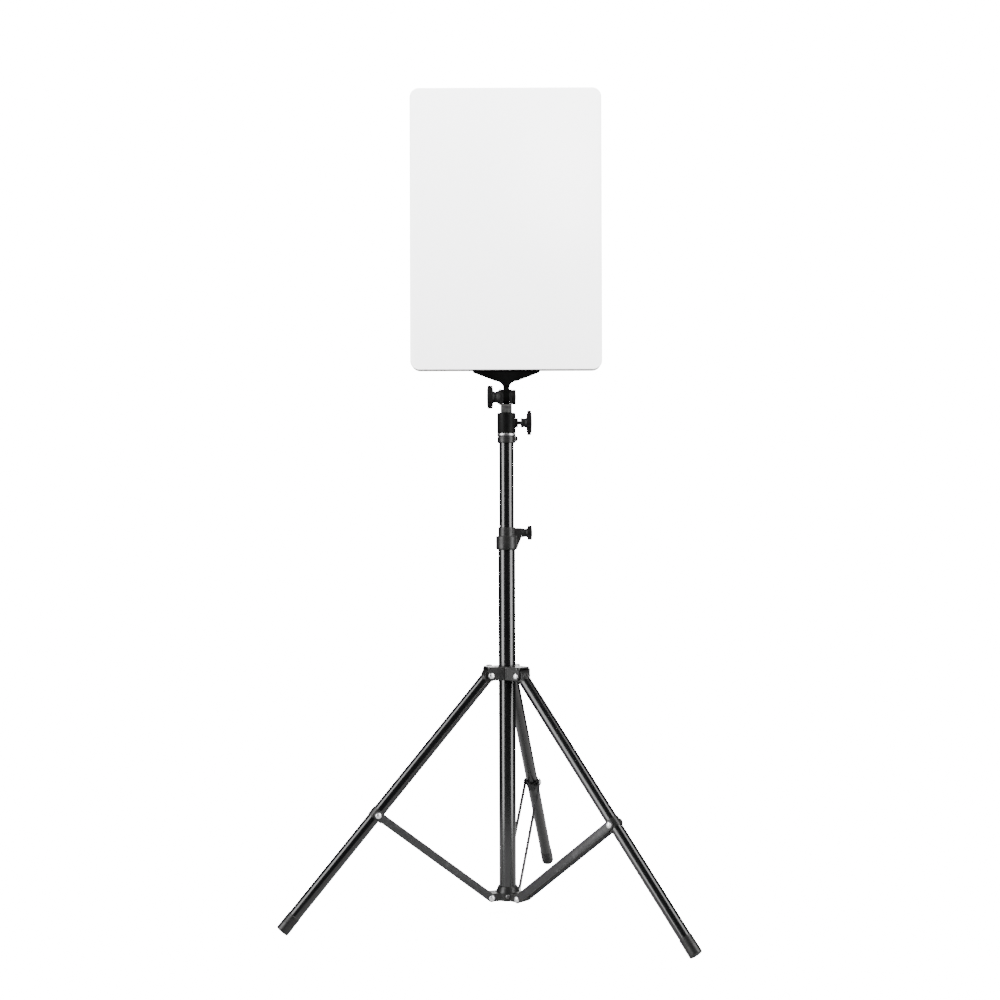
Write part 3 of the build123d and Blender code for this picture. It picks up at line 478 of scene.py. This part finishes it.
def opal_sheet(name):
    """Opal acrylic with a matt face. The light guide behind it shows as a very faint cloud. A painted pool
    of light brightens a patch right of and above the middle, and painted shade darkens the sheet towards
    its bottom.
    """
    made = Finish(name)
    x, y, z = made.axes()
    centre = middle("front_diffuser")
    across = (x - (centre.x + 0.075)) / 0.085
    upward = (z - (centre.z + 0.055)) / 0.115
    # painted pool of light: a round patch right of and above the middle of the sheet
    patch = made.range((across * across + upward * upward) ** 0.5, 0.25, 1.15, 1.0, 0.0)
    # painted shade: the sheet gets darker towards its bottom
    foot = made.range(z, low("front_diffuser")[2], centre.z, 1.0, 0.0)
    cloud = made.noise(9, 3, 0.55)
    lines = made.noise(60, 2, 0.5, made.stretched((1, 1, 0.03)))
    base = made.mix(cloud * 0.5 + lines * 0.18, (0.87, 0.873, 0.88), (0.9, 0.902, 0.906))
    # the painted pool of light lifts the patch to near white
    base = made.mix(patch * 0.75, base, (0.97, 0.97, 0.97))
    made.set(Base_Color=made.mix(foot * 0.35, base, (0.84, 0.83, 0.84)),
             Roughness=made.range(made.noise(1100, 2, 0.5), 0.3, 0.7, 0.38, 0.5),
             Specular_IOR_Level=0.4)
    made.bump(made.noise(1700, 2, 0.5), 0.08, 0.0001)
    return made


def white_moulding(name, shade=0.8):
    """White ABS housing with a fine grain and a trace of shop dust."""
    made = Finish(name)
    grain = made.noise(1500, 2, 0.55)
    cells = made.cells(900)
    soil = made.range(made.noise(26, 5, 0.65), 0.5, 0.85, 0.0, 0.4)
    clean, dusty = (shade, shade, shade * 1.01), (shade * 0.86, shade * 0.85, shade * 0.82)
    made.set(Base_Color=made.mix(soil, clean, dusty),
             Roughness=made.range(grain, 0.3, 0.7, 0.36, 0.5))
    made.bump(grain * 0.6 + cells * 0.4, 0.18, 0.00012)
    return made


def display_glass(name):
    """Smeared dark glass over the display."""
    made = Finish(name)
    smear = made.noise(240, 4, 0.6)
    made.set(Base_Color=made.mix(smear, (0.006, 0.008, 0.012), (0.012, 0.016, 0.022)),
             Roughness=made.range(smear, 0.35, 0.75, 0.05, 0.16), Coat_Weight=1.0, Coat_Roughness=0.05)
    return made


def circuit_green(name):
    """Green solder mask with paler tracks."""
    made = Finish(name)
    tracks = made.node("ShaderNodeTexBrick", {}, {"Vector": made.stretched((1, 0, 1)), "Scale": 160,
                                                  "Mortar Size": 0.08}, out=1)
    haze = made.noise(90, 3, 0.6)
    made.set(Base_Color=made.mix(tracks * 0.6, made.mix(haze, (0.01, 0.06, 0.025), (0.02, 0.09, 0.04)),
                                 (0.03, 0.16, 0.07)),
             Roughness=made.range(haze, 0.3, 0.7, 0.3, 0.45))
    return made


def led_yellow(name):
    """Yellow phosphor of the LEDs."""
    made = Finish(name)
    grain = made.noise(1600, 2, 0.5)
    made.set(Base_Color=made.mix(grain, (0.75, 0.52, 0.08), (0.85, 0.66, 0.16)),
             Roughness=made.range(grain, 0.3, 0.7, 0.3, 0.45))
    return made


FINISHES = {}


def finish(key):
    """Each finish is made once, when a piece first asks for it."""
    makers = {
        "tube": lambda: gloss_black("column_paint", 1.0),
        "leg_tube": lambda: gloss_black("leg_paint", 0.72),
        "casting": lambda: satin_black("collar_nylon", 0.0035, 0.38, 0.8, 0.4),
        "head": lambda: satin_black("head_nylon", 0.0006, 0.5, 1.0, 0.1),
        "knob": lambda: satin_black("knob_nylon", 0.0016, 0.46, 0.7, 0.2),
        "foot_bracket": lambda: satin_black("bracket_nylon", 0.0006, 0.5, 0.8, 0.06),
        "bush": lambda: white_moulding("bush_acetal", 0.5),
        "fork": lambda: fork_black("fork_casting"),
        "steel": lambda: bright_metal("screw_steel", 0.14, 0.36, False),
        "rivet": lambda: bright_metal("rivet_steel", 0.97, 0.34, False),
        "bright": lambda: bright_metal("spigot_aluminium", 0.5, 0.3),
        "bar": lambda: bar_paint("brace_paint"),
        "rubber": lambda: rubber_black("foot_rubber"),
        "white": lambda: white_moulding("housing_abs"),
        "opal": lambda: opal_sheet("diffuser_opal"),
        "board": lambda: white_moulding("board_mask", 0.7),
        "led": lambda: led_yellow("led_phosphor"),
        "circuit": lambda: circuit_green("driver_mask"),
        "display": lambda: display_glass("display_glass"),
        "print": lambda: white_moulding("dial_print", 0.6),
    }
    if key not in FINISHES:
        FINISHES[key] = makers[key]()
    return FINISHES[key]


def settle(piece, body, slot, look, *nodes):
    """A new piece rides on its body, takes its look, and stands for its CAD nodes. The slot is not used.
    """
    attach(piece, body)
    use(piece, finish(look))
    if nodes:
        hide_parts(*nodes)


# ---------------------------------------------------------------- sizes a user may change

class StandSizes(bpy.types.PropertyGroup):
    edge: bpy.props.FloatProperty(
        name="Edge",
        description="Mesh size of the large mouldings; their edges round over by about as much",
        default=0.45 * MM, min=0.1 * MM, max=1.5 * MM, unit="LENGTH", subtype="DISTANCE")
    rivet_head: bpy.props.FloatProperty(
        name="Rivet head", description="Radius of the rivets' domed heads",
        default=3.85 * MM, min=2.0 * MM, max=6.0 * MM, unit="LENGTH", subtype="DISTANCE")
    brace_length: bpy.props.FloatProperty(
        name="Brace length", description="From the pivot at the hub to the pivot on the leg",
        default=189.07 * MM, min=50 * MM, max=400 * MM, unit="LENGTH", subtype="DISTANCE")


class LightSizes(bpy.types.PropertyGroup):
    corner: bpy.props.FloatProperty(
        name="Corner", description="Radius of the panel's corners, seen from the front",
        default=12.0 * MM, min=2 * MM, max=40 * MM, unit="LENGTH", subtype="DISTANCE")
    rim: bpy.props.FloatProperty(
        name="Rim", description="Radius of the diffuser's front edge",
        default=1.2 * MM, min=0.2 * MM, max=2 * MM, unit="LENGTH", subtype="DISTANCE")


class StageSettings(bpy.types.PropertyGroup):
    floor_colour: bpy.props.FloatVectorProperty(
        name="Floor", description="Colour of the floor", default=(0.9, 0.9, 0.9), min=0, max=1,
        size=3, subtype="COLOR")
    floor_radius: bpy.props.FloatProperty(
        name="Floor radius", description="How far the floor reaches round the stand",
        default=0.6, min=0.5, max=30, unit="LENGTH", subtype="DISTANCE")
    softbox_power: bpy.props.FloatProperty(
        name="Softbox power", description="Power of each of the two front softboxes, in watts",
        default=130.0, min=0, max=2000)


# ---------------------------------------------------------------- tee knobs

def add_wings(bm, length, width, depth, taper, place):
    """The bar of a tee knob: a block with swept, rounded wings."""
    part = bmesh.new()
    bmesh.ops.create_cube(part, size=1.0)
    bmesh.ops.scale(part, vec=(length, width, depth), verts=part.verts)
    for cut in (-0.44, -0.36, -0.2, 0, 0.2, 0.36, 0.44):
        geom = part.verts[:] + part.edges[:] + part.faces[:]
        bmesh.ops.bisect_plane(part, geom=geom, plane_co=(cut * length, 0, 0), plane_no=(1, 0, 0),
                               dist=CUT_GAP)
    for vert in part.verts:
        reach = abs(vert.co.x) / (length / 2)
        past_tip = max(0.0, reach - 0.85)
        vert.co.y *= 1.0 + 0.1 * reach - 0.16 * past_tip / 0.15 - 0.12 * math.sin(math.pi * reach)
        vert.co.z *= 1.0 - taper * reach - 0.12 * past_tip / 0.15
    edges = [e for e in part.edges if e.calc_face_angle(0) > math.radians(50)]
    rolled(part, edges, min(width, depth) * 0.24, 3)
    bmesh.ops.recalc_face_normals(part, faces=part.faces)
    join(bm, part, place)


def tee_knob(name, place):
    """A moulded tee knob: a horn-shaped hub, two wings and a shallow cap over the screw's head."""
    hub_length, base, waist, bar, width, depth = [size * MM for size in KNOBS[name][:-1]]
    taper = KNOBS[name][-1]
    steps = 9
    horn = []
    for i in range(steps + 1):
        t = i / steps
        flare = (1 - t) ** 2.6
        swell = max(0.0, t - 0.55) ** 2 * 1.6
        horn.append((waist + (base - waist) * flare + waist * swell, hub_length * t))
    outline = [(0, 0), (base - 0.4 * MM, 0), (base, 0.4 * MM)]
    outline += [(r, h + 0.6 * MM) for r, h in horn[1:]]
    top = hub_length + depth
    outline += [(horn[-1][0], top - 1.2 * MM), (horn[-1][0] - 0.9 * MM, top - 0.3 * MM),
                (waist * 0.62, top), (waist * 0.55, top - 0.5 * MM), (0, top - 0.5 * MM)]
    bm = bmesh.new()
    add_lathe(bm, outline, KNOB_STEPS)
    wings = Matrix.Translation((0, 0, hub_length + depth / 2))
    add_wings(bm, bar, width, depth - 0.2 * MM, taper, wings)
    piece = finished(name, bm, place, sharp=38.0)
    smooth = piece.modifiers.new("rounding", "BEVEL")
    smooth.width = 0.25 * MM
    smooth.segments = 2
    smooth.limit_method = "ANGLE"
    smooth.angle_limit = math.radians(50)
    return piece


class STAND_OT_knobs(bpy.types.Operator):
    """Make the tee knobs of the four locks and the small thumb screw at the top"""
    bl_idname = "stand.knobs"
    bl_label = "Clamp knobs"

    def execute(self, context):
        tilt_height = JOINTS["light_tilt"]["pos_m"][2]
        place = frame_at((high("tilt_knob")[0] + 0.45 * MM, 0, tilt_height), (-1, 0, 0), UP)
        settle(tee_knob("tilt_clamp_knob", place), "tilt_clamp", "knob", "knob", "tilt_knob")
        place = frame_at((low("clamp_knob")[0], 0, middle("clamp_knob").z), (1, 0, 0), UP)
        settle(tee_knob("socket_clamp_knob", place), "socket_clamp", "knob", "knob", "clamp_knob")
        height = JOINTS["mid_lock_turn"]["pos_m"][2]
        place = frame_at((low("mid_lock_knob")[0] - 0.4 * MM, 0, height), (1, 0, 0), (0, 0.5, 0.86))
        settle(tee_knob("mid_clamp_knob", place), "mid_lock", "knob", "knob", "mid_lock_knob")
        joint = JOINTS["leg_lock_turn"]
        out = Vector(joint["axis"]).normalized()
        place = frame_at(Vector(joint["pos_m"]) - out * (0.4 * MM), out, UP)
        settle(tee_knob("leg_clamp_knob", place), "leg_lock", "knob", "knob", "leg_lock_knob")
        settle(moulded("top_lock_knob", 0.3 * MM), "top_lock", "casting", "knob", "top_lock_knob")
        return {"FINISHED"}


# ---------------------------------------------------------------- column

class STAND_OT_column(bpy.types.Operator):
    """Make the three tubes of the column, its lock collars and the spigot"""
    bl_idname = "stand.column"
    bl_label = "Column"

    def execute(self, context):
        edge = context.scene.stand_sizes.edge
        for node, (body, wall) in TUBE_WALLS.items():
            piece = tube(node + "_painted", high(node)[0], wall, low(node)[2], high(node)[2])
            settle(piece, body, "tube", "tube", node)
        for node, body in {"mid_lock_collar": "column", "top_lock_collar": "middle_riser"}.items():
            settle(moulded(node, edge), body, "casting", "casting", node)
        settle(softened("spigot", 0.25 * MM), "top_riser", "bright", "bright", "spigot")
        for node in ("middle_guide_bush", "top_guide_bush"):
            keep(node, finish("bush"))
        for node in ("mid_lock_screw", "leg_lock_screw", "hub_screw", "clamp_screw", "tilt_bolt",
                     "fork_screw", "foot_screws", "housing_screws"):
            keep(node, finish("steel"))
        keep("column_end_plug", finish("casting"))
        return {"FINISHED"}


# ---------------------------------------------------------------- legs and braces

class STAND_OT_legs(bpy.types.Operator):
    """Make the legs with their knuckles, clips, feet and the collar that carries them"""
    bl_idname = "stand.legs"
    bl_label = "Legs"

    def execute(self, context):
        edge = context.scene.stand_sizes.edge
        settle(moulded("leg_collar", edge), "leg_collar_slide", "casting", "casting", "leg_collar")
        for name in LEGS:
            body = "leg_" + name
            pivot, _, side, down = leg_place(name)
            place = frame_at(pivot, down, side)
            end = (middle("leg_foot_" + name) - pivot).dot(down) + LEG_IN_FOOT
            leg = tube("leg_tube_%s_painted" % name, LEG_RADIUS, LEG_WALL, LEG_START, end, place)
            settle(leg, body, "tube", "leg_tube", "leg_tube_" + name)
            knuckle, clip = "leg_knuckle_" + name, "leg_clip_" + name
            settle(moulded(knuckle, 0.4 * MM), body, "casting", "casting", knuckle)
            settle(softened(clip, 0.3 * MM), body, "casting", "casting", clip)
            self.make_foot(name, body, place, pivot, down)
        return {"FINISHED"}

    def make_foot(self, name, body, place, pivot, down):
        """A ribbed rubber cap over the end of the leg, worn flat on the floor."""
        tilt = math.acos(-down.z)
        radius, bore, edge, wear, depth = 8.6 * MM, 8.02 * MM, 1.6 * MM, 0.5 * MM, 24 * MM
        rib, floor = 0.35 * MM, 4 * MM
        corner = (radius - edge) * math.sin(tilt) + edge - edge * math.cos(tilt)
        end = (pivot.z - corner + wear) / math.cos(tilt)
        start = end - depth
        outline = [(bore, start), (radius - 0.4 * MM, start), (radius, start + 0.5 * MM)]
        for i in range(4):
            groove = start + (3.0 + 2.6 * i) * MM
            outline += [(radius, groove), (radius - rib, groove + rib),
                        (radius - rib, groove + 0.85 * MM), (radius, groove + 1.2 * MM)]
        outline += [(r, end - h) for r, h in reversed(arc(radius - edge, edge, edge, -90, 0, 8))]
        outline += [(0, end), (0, end - floor), (bore, end - floor)]
        bm = bmesh.new()
        add_lathe(bm, outline, ROUND, ring=True)
        bmesh.ops.transform(bm, matrix=place, verts=bm.verts)
        geom = bm.verts[:] + bm.edges[:] + bm.faces[:]
        cut = bmesh.ops.bisect_plane(bm, geom=geom, plane_co=(0, 0, 0), plane_no=(0, 0, -1),
                                     dist=CUT_GAP, clear_outer=True)
        rim = [item for item in cut["geom_cut"] if isinstance(item, bmesh.types.BMEdge)]
        bmesh.ops.contextual_create(bm, geom=rim)
        bmesh.ops.recalc_face_normals(bm, faces=bm.faces)
        foot = finished("leg_foot_%s_ribbed" % name, bm)
        settle(foot, body, "rubber", "rubber", "leg_foot_" + name)


class STAND_OT_braces(bpy.types.Operator):
    """Make the hub, the flat bars of the braces and every rivet of the fold"""
    bl_idname = "stand.braces"
    bl_label = "Braces and rivets"

    def execute(self, context):
        sizes = context.scene.stand_sizes
        settle(moulded("spreader_hub", sizes.edge), "column", "casting", "casting", "spreader_hub")
        for name in LEGS:
            self.make_bars(name, sizes.brace_length)
            self.make_brace_rivets(name, sizes)
        self.make_collar_rivets(sizes)
        return {"FINISHED"}

    def make_bars(self, name, length):
        """Two flat strips with round ends and rolled edges."""
        pivot, side, up = brace_place(name)
        bm = bmesh.new()
        steps = 32
        for hand in (-1, 1):
            part = bmesh.new()
            bmesh.ops.create_circle(part, cap_ends=True, segments=steps, radius=BAR_HALF_WIDTH)
            bmesh.ops.rotate(part, verts=part.verts, cent=(0, 0, 0),
                             matrix=Matrix.Rotation(math.pi / steps, 3, "Z"))
            far = [v for v in part.verts if v.co.x > 0]
            bmesh.ops.translate(part, vec=(length, 0, 0), verts=far)
            grown = bmesh.ops.extrude_face_region(part, geom=part.faces[:])
            lifted = [v for v in grown["geom"] if isinstance(v, bmesh.types.BMVert)]
            bmesh.ops.translate(part, vec=(0, 0, BAR_THICK), verts=lifted)
            bmesh.ops.recalc_face_normals(part, faces=part.faces)
            rim = [e for e in part.edges if e.calc_face_angle(0) > math.radians(60)]
            rolled(part, rim, 0.35 * MM, 3)
            start = pivot + side * (hand * BAR_OFFSET - BAR_THICK / 2)
            join(bm, part, frame_at(start, side, up))
        bars = finished("brace_bars_%s_strip" % name, bm)
        settle(bars, "brace_" + name, "bar", "bar", "brace_bars_" + name)

    def make_brace_rivets(self, name, sizes):
        """A rivet through the hub, and a short one in the far end of each bar."""
        pivot, side, up = brace_place(name)
        outline = rivet_outline(SHANK_RADIUS, BRACE_STACK, sizes.rivet_head, RIVET_DOME)
        bm = bmesh.new()
        add_lathe(bm, outline, FINE, frame_at(pivot, side, up))
        far = pivot + up * sizes.brace_length
        short = [(0, SHORT_RIVET_END), (SHANK_RADIUS, SHORT_RIVET_END)] + outline[len(outline) // 2:]
        for hand in (-1, 1):
            add_lathe(bm, short, FINE, frame_at(far, side * hand, up))
        rivets = finished("brace_rivets_%s_domed" % name, bm)
        settle(rivets, "brace_" + name, "rivet", "rivet", "brace_rivets_" + name)

    def make_collar_rivets(self, sizes):
        """One rivet through each pair of lugs and its leg's knuckle."""
        outline = rivet_outline(SHANK_RADIUS, COLLAR_STACK, sizes.rivet_head, RIVET_DOME)
        bm = bmesh.new()
        for name in LEGS:
            pivot, out, side, _ = leg_place(name)
            add_lathe(bm, outline, FINE, frame_at(pivot, side, out))
        rivets = finished("leg_collar_rivets_domed", bm)
        settle(rivets, "leg_collar_slide", "rivet", "rivet", "leg_collar_rivets")


# ---------------------------------------------------------------- head

class STAND_OT_head(bpy.types.Operator):
    """Make the socket, the tilt fork with its nut and the bracket under the light"""
    bl_idname = "stand.head"
    bl_label = "Tilting head"

    def execute(self, context):
        edge = context.scene.stand_sizes.edge
        settle(moulded("head_socket", edge), "head", "casting", "head", "head_socket")
        fork = softened("tilt_fork", 0.25 * MM, closed=(FORK_CHEEK, FORK_CHEEK_CLOSED))
        settle(fork, "head", "fork", "fork", "tilt_fork")
        settle(softened("tilt_nut", 0.3 * MM), "head", "knob", "knob", "tilt_nut")
        settle(softened("panel_foot", 0.35 * MM), "light", "casting", "foot_bracket", "panel_foot")
        return {"FINISHED"}


# ---------------------------------------------------------------- light

def rounded_slab(width, height, corner, rim, front, back, centre):
    """An upright plate with round corners and a rolled front edge."""
    bm = bmesh.new()
    bmesh.ops.create_cube(bm, size=1.0)
    bmesh.ops.scale(bm, vec=(width, back - front, height), verts=bm.verts)
    bmesh.ops.translate(bm, vec=(centre.x, (front + back) / 2, centre.z), verts=bm.verts)
    posts = [e for e in bm.edges if abs(e.verts[0].co.y - e.verts[1].co.y) > (back - front) / 2]
    rolled(bm, posts, corner, 14)
    lip = [e for e in bm.edges if all(abs(v.co.y - front) < 1e-6 for v in e.verts)]
    rolled(bm, lip, rim, 5)
    bmesh.ops.recalc_face_normals(bm, faces=bm.faces)
    return bm


class LIGHT_OT_panel(bpy.types.Operator):
    """Make the opal front and give the housing and what is inside it their finishes"""
    bl_idname = "light.panel"
    bl_label = "Panel"

    def execute(self, context):
        sizes = context.scene.light_sizes
        lo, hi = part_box("front_diffuser")
        back = low("rear_housing")[1] - 0.15 * MM
        bm = rounded_slab(hi[0] - lo[0], hi[2] - lo[2], sizes.corner, sizes.rim, lo[1], back,
                          middle("front_diffuser"))
        sheet = finished("front_diffuser_sheet", bm, sharp=40.0)
        settle(sheet, "light", "opal", "opal", "front_diffuser")
        for node, look in {"rear_housing": "white", "reflector_frame": "white", "led_board": "board",
                           "led_chips": "led", "driver_board": "circuit"}.items():
            keep(node, finish(look))
        return {"FINISHED"}


class LIGHT_OT_controls(bpy.types.Operator):
    """Make the dials, the button, the display and the inlet on the back"""
    bl_idname = "light.controls"
    bl_label = "Controls"

    def execute(self, context):
        settle(softened("control_plate", 0.2 * MM), "light", "black_plate", "casting", "control_plate")
        settle(softened("dc_inlet", 0.2 * MM), "light", "black_plate", "casting", "dc_inlet")
        for name in ("brightness", "colour"):
            settle(softened(name + "_dial", 0.25 * MM), name, "knob", "knob", name + "_dial")
            self.make_ticks(name)
        settle(softened("power_button", 0.2 * MM), "power", "knob", "knob", "power_button")
        keep("display_window", finish("display"))
        return {"FINISHED"}

    def make_ticks(self, name):
        """Printed dots round a dial, larger towards full."""
        spot = Vector(JOINTS[name + "_turn"]["pos_m"])
        face = high("control_plate")[1]
        bm = bmesh.new()
        for i in range(DIAL_MARKS):
            turn = math.radians(-150 + 30 * i)
            at = (spot.x - DIAL_MARK_RING * math.sin(turn), face - 0.02 * MM,
                  spot.z + DIAL_MARK_RING * math.cos(turn))
            part = bmesh.new()
            size = (0.35 + 0.03 * i) * MM
            bmesh.ops.create_cone(part, cap_ends=True, segments=16, radius1=size,
                                  radius2=size * 0.9, depth=0.12 * MM)
            join(bm, part, frame_at(at, (0, 1, 0)))
        settle(finished(name + "_marks", bm), "light", "white_shell", "print")


# ---------------------------------------------------------------- stage

class STUDIO_OT_stage(bpy.types.Operator):
    """Set the floor, the soft lights, the world and the camera"""
    bl_idname = "studio.stage"
    bl_label = "Stage"

    def execute(self, context):
        settings = context.scene.stage_settings
        self.make_floor(settings)
        self.make_world(context)
        for name, (place, size, share, mirrored) in SOFTBOXES.items():
            self.make_softbox(name, place, size, settings.softbox_power * share, mirrored)
        self.make_camera(context)
        return {"FINISHED"}

    def make_floor(self, settings):
        """A round of white paper, as bright to the camera as the backdrop and dim to the rest."""
        bm = bmesh.new()
        bmesh.ops.create_circle(bm, cap_ends=True, segments=96, radius=settings.floor_radius)
        floor = finished("studio_floor", bm)
        made = Finish("floor_paper")
        grain = made.noise(140, 3, 0.6)
        tint = settings.floor_colour
        made.set(Base_Color=made.mix(grain, [c * 0.985 for c in tint], tuple(tint)), Roughness=0.9)
        glow = made.node("ShaderNodeEmission", {}, {"Strength": PAPER_GLOW})
        lit = made.node("ShaderNodeAddShader", {}, {0: Wire(made, made.shader.outputs[0]), 1: glow})
        shade = (PAPER_SHADE, PAPER_SHADE, PAPER_SHADE, 1)
        dim = made.node("ShaderNodeBsdfDiffuse", {}, {"Color": shade})
        seen = made.node("ShaderNodeLightPath", {}, {})
        blend = made.node("ShaderNodeMixShader", {}, {0: seen, 1: dim, 2: lit})
        output = next(n for n in made.tree.nodes if n.type == "OUTPUT_MATERIAL")
        made.tree.links.new(blend.socket, output.inputs["Surface"])
        use(floor, made)

    def make_world(self, context):
        """White where the camera looks past the object, and a dim grey room for everything else."""
        world = bpy.data.worlds.new("studio_world")
        world.use_nodes = True
        tree = world.node_tree
        tree.nodes.clear()
        output = tree.nodes.new("ShaderNodeOutputWorld")
        blend = tree.nodes.new("ShaderNodeMixShader")
        room = tree.nodes.new("ShaderNodeBackground")
        room.inputs["Color"].default_value = (0.9, 0.95, 1.0, 1)
        room.inputs["Strength"].default_value = ROOM_GLOW
        white = tree.nodes.new("ShaderNodeBackground")
        white.inputs["Strength"].default_value = BACKDROP_GLOW
        seen = tree.nodes.new("ShaderNodeLightPath")
        tree.links.new(seen.outputs["Is Camera Ray"], blend.inputs[0])
        tree.links.new(room.outputs[0], blend.inputs[1])
        tree.links.new(white.outputs[0], blend.inputs[2])
        tree.links.new(blend.outputs[0], output.inputs["Surface"])
        context.scene.world = world

    def make_softbox(self, name, place, size, power, mirrored):
        data = bpy.data.lights.new(name, "AREA")
        data.shape = "RECTANGLE"
        data.size, data.size_y = size
        data.energy = power
        light = bpy.data.objects.new(name, data)
        bpy.context.scene.collection.objects.link(light)
        aim = Vector(LIGHTS_AIM) - Vector(place)
        light.location = place
        light.rotation_euler = aim.to_track_quat("-Z", "Y").to_euler()
        light.visible_glossy = mirrored

    def make_camera(self, context):
        """A long view at half the stand's height, aimed a little left of the column and rolled a trace."""
        data = bpy.data.cameras.new("studio_camera")
        data.sensor_width = 36.0
        data.lens = CAMERA_LENS
        data.clip_end = 100.0
        camera = bpy.data.objects.new("studio_camera", data)
        context.scene.collection.objects.link(camera)
        yaw, pitch, roll = CAMERA_TURN
        forward = Vector((math.sin(yaw) * math.cos(pitch), math.cos(yaw) * math.cos(pitch),
                          math.sin(pitch)))
        right = forward.cross(Vector(UP)).normalized()
        up = right.cross(forward)
        turned_right = right * math.cos(roll) - up * math.sin(roll)
        turned_up = right * math.sin(roll) + up * math.cos(roll)
        camera.matrix_world = Matrix.Translation(CAMERA_PLACE) @ Matrix(
            (turned_right, turned_up, -forward)).transposed().to_4x4()
        context.scene.camera = camera


# ---------------------------------------------------------------- sidebar and registration

class VIEW3D_PT_panel_light(bpy.types.Panel):
    """Lists the pieces of the light in the order they are made"""
    bl_label = "Panel light"
    bl_idname = "VIEW3D_PT_panel_light"
    bl_space_type = "VIEW_3D"
    bl_region_type = "UI"
    bl_category = "Panel light"

    def draw(self, context):
        scene = context.scene
        for key, group in GROUPS.items():
            for name in group.__annotations__:
                self.layout.prop(getattr(scene, key), name)
        for step in STEPS:
            self.layout.operator(step.bl_idname)


STEPS = (STUDIO_OT_stage, STAND_OT_column, STAND_OT_legs, STAND_OT_braces, STAND_OT_head,
         STAND_OT_knobs, LIGHT_OT_panel, LIGHT_OT_controls)
GROUPS = {"stand_sizes": StandSizes, "light_sizes": LightSizes, "stage_settings": StageSettings}


def register():
    for name, group in GROUPS.items():
        bpy.utils.register_class(group)
        setattr(bpy.types.Scene, name, bpy.props.PointerProperty(type=group))
    for step in STEPS:
        bpy.utils.register_class(step)
    bpy.utils.register_class(VIEW3D_PT_panel_light)


def unregister():
    bpy.utils.unregister_class(VIEW3D_PT_panel_light)
    for step in reversed(STEPS):
        bpy.utils.unregister_class(step)
    for name, group in reversed(GROUPS.items()):
        delattr(bpy.types.Scene, name)
        bpy.utils.unregister_class(group)


def main():
    register()
    bpy.ops.studio.stage()
    bpy.ops.stand.column()
    bpy.ops.stand.legs()
    bpy.ops.stand.braces()
    bpy.ops.stand.head()
    bpy.ops.stand.knobs()
    bpy.ops.light.panel()
    bpy.ops.light.controls()


if __name__ == "__main__":
    main()
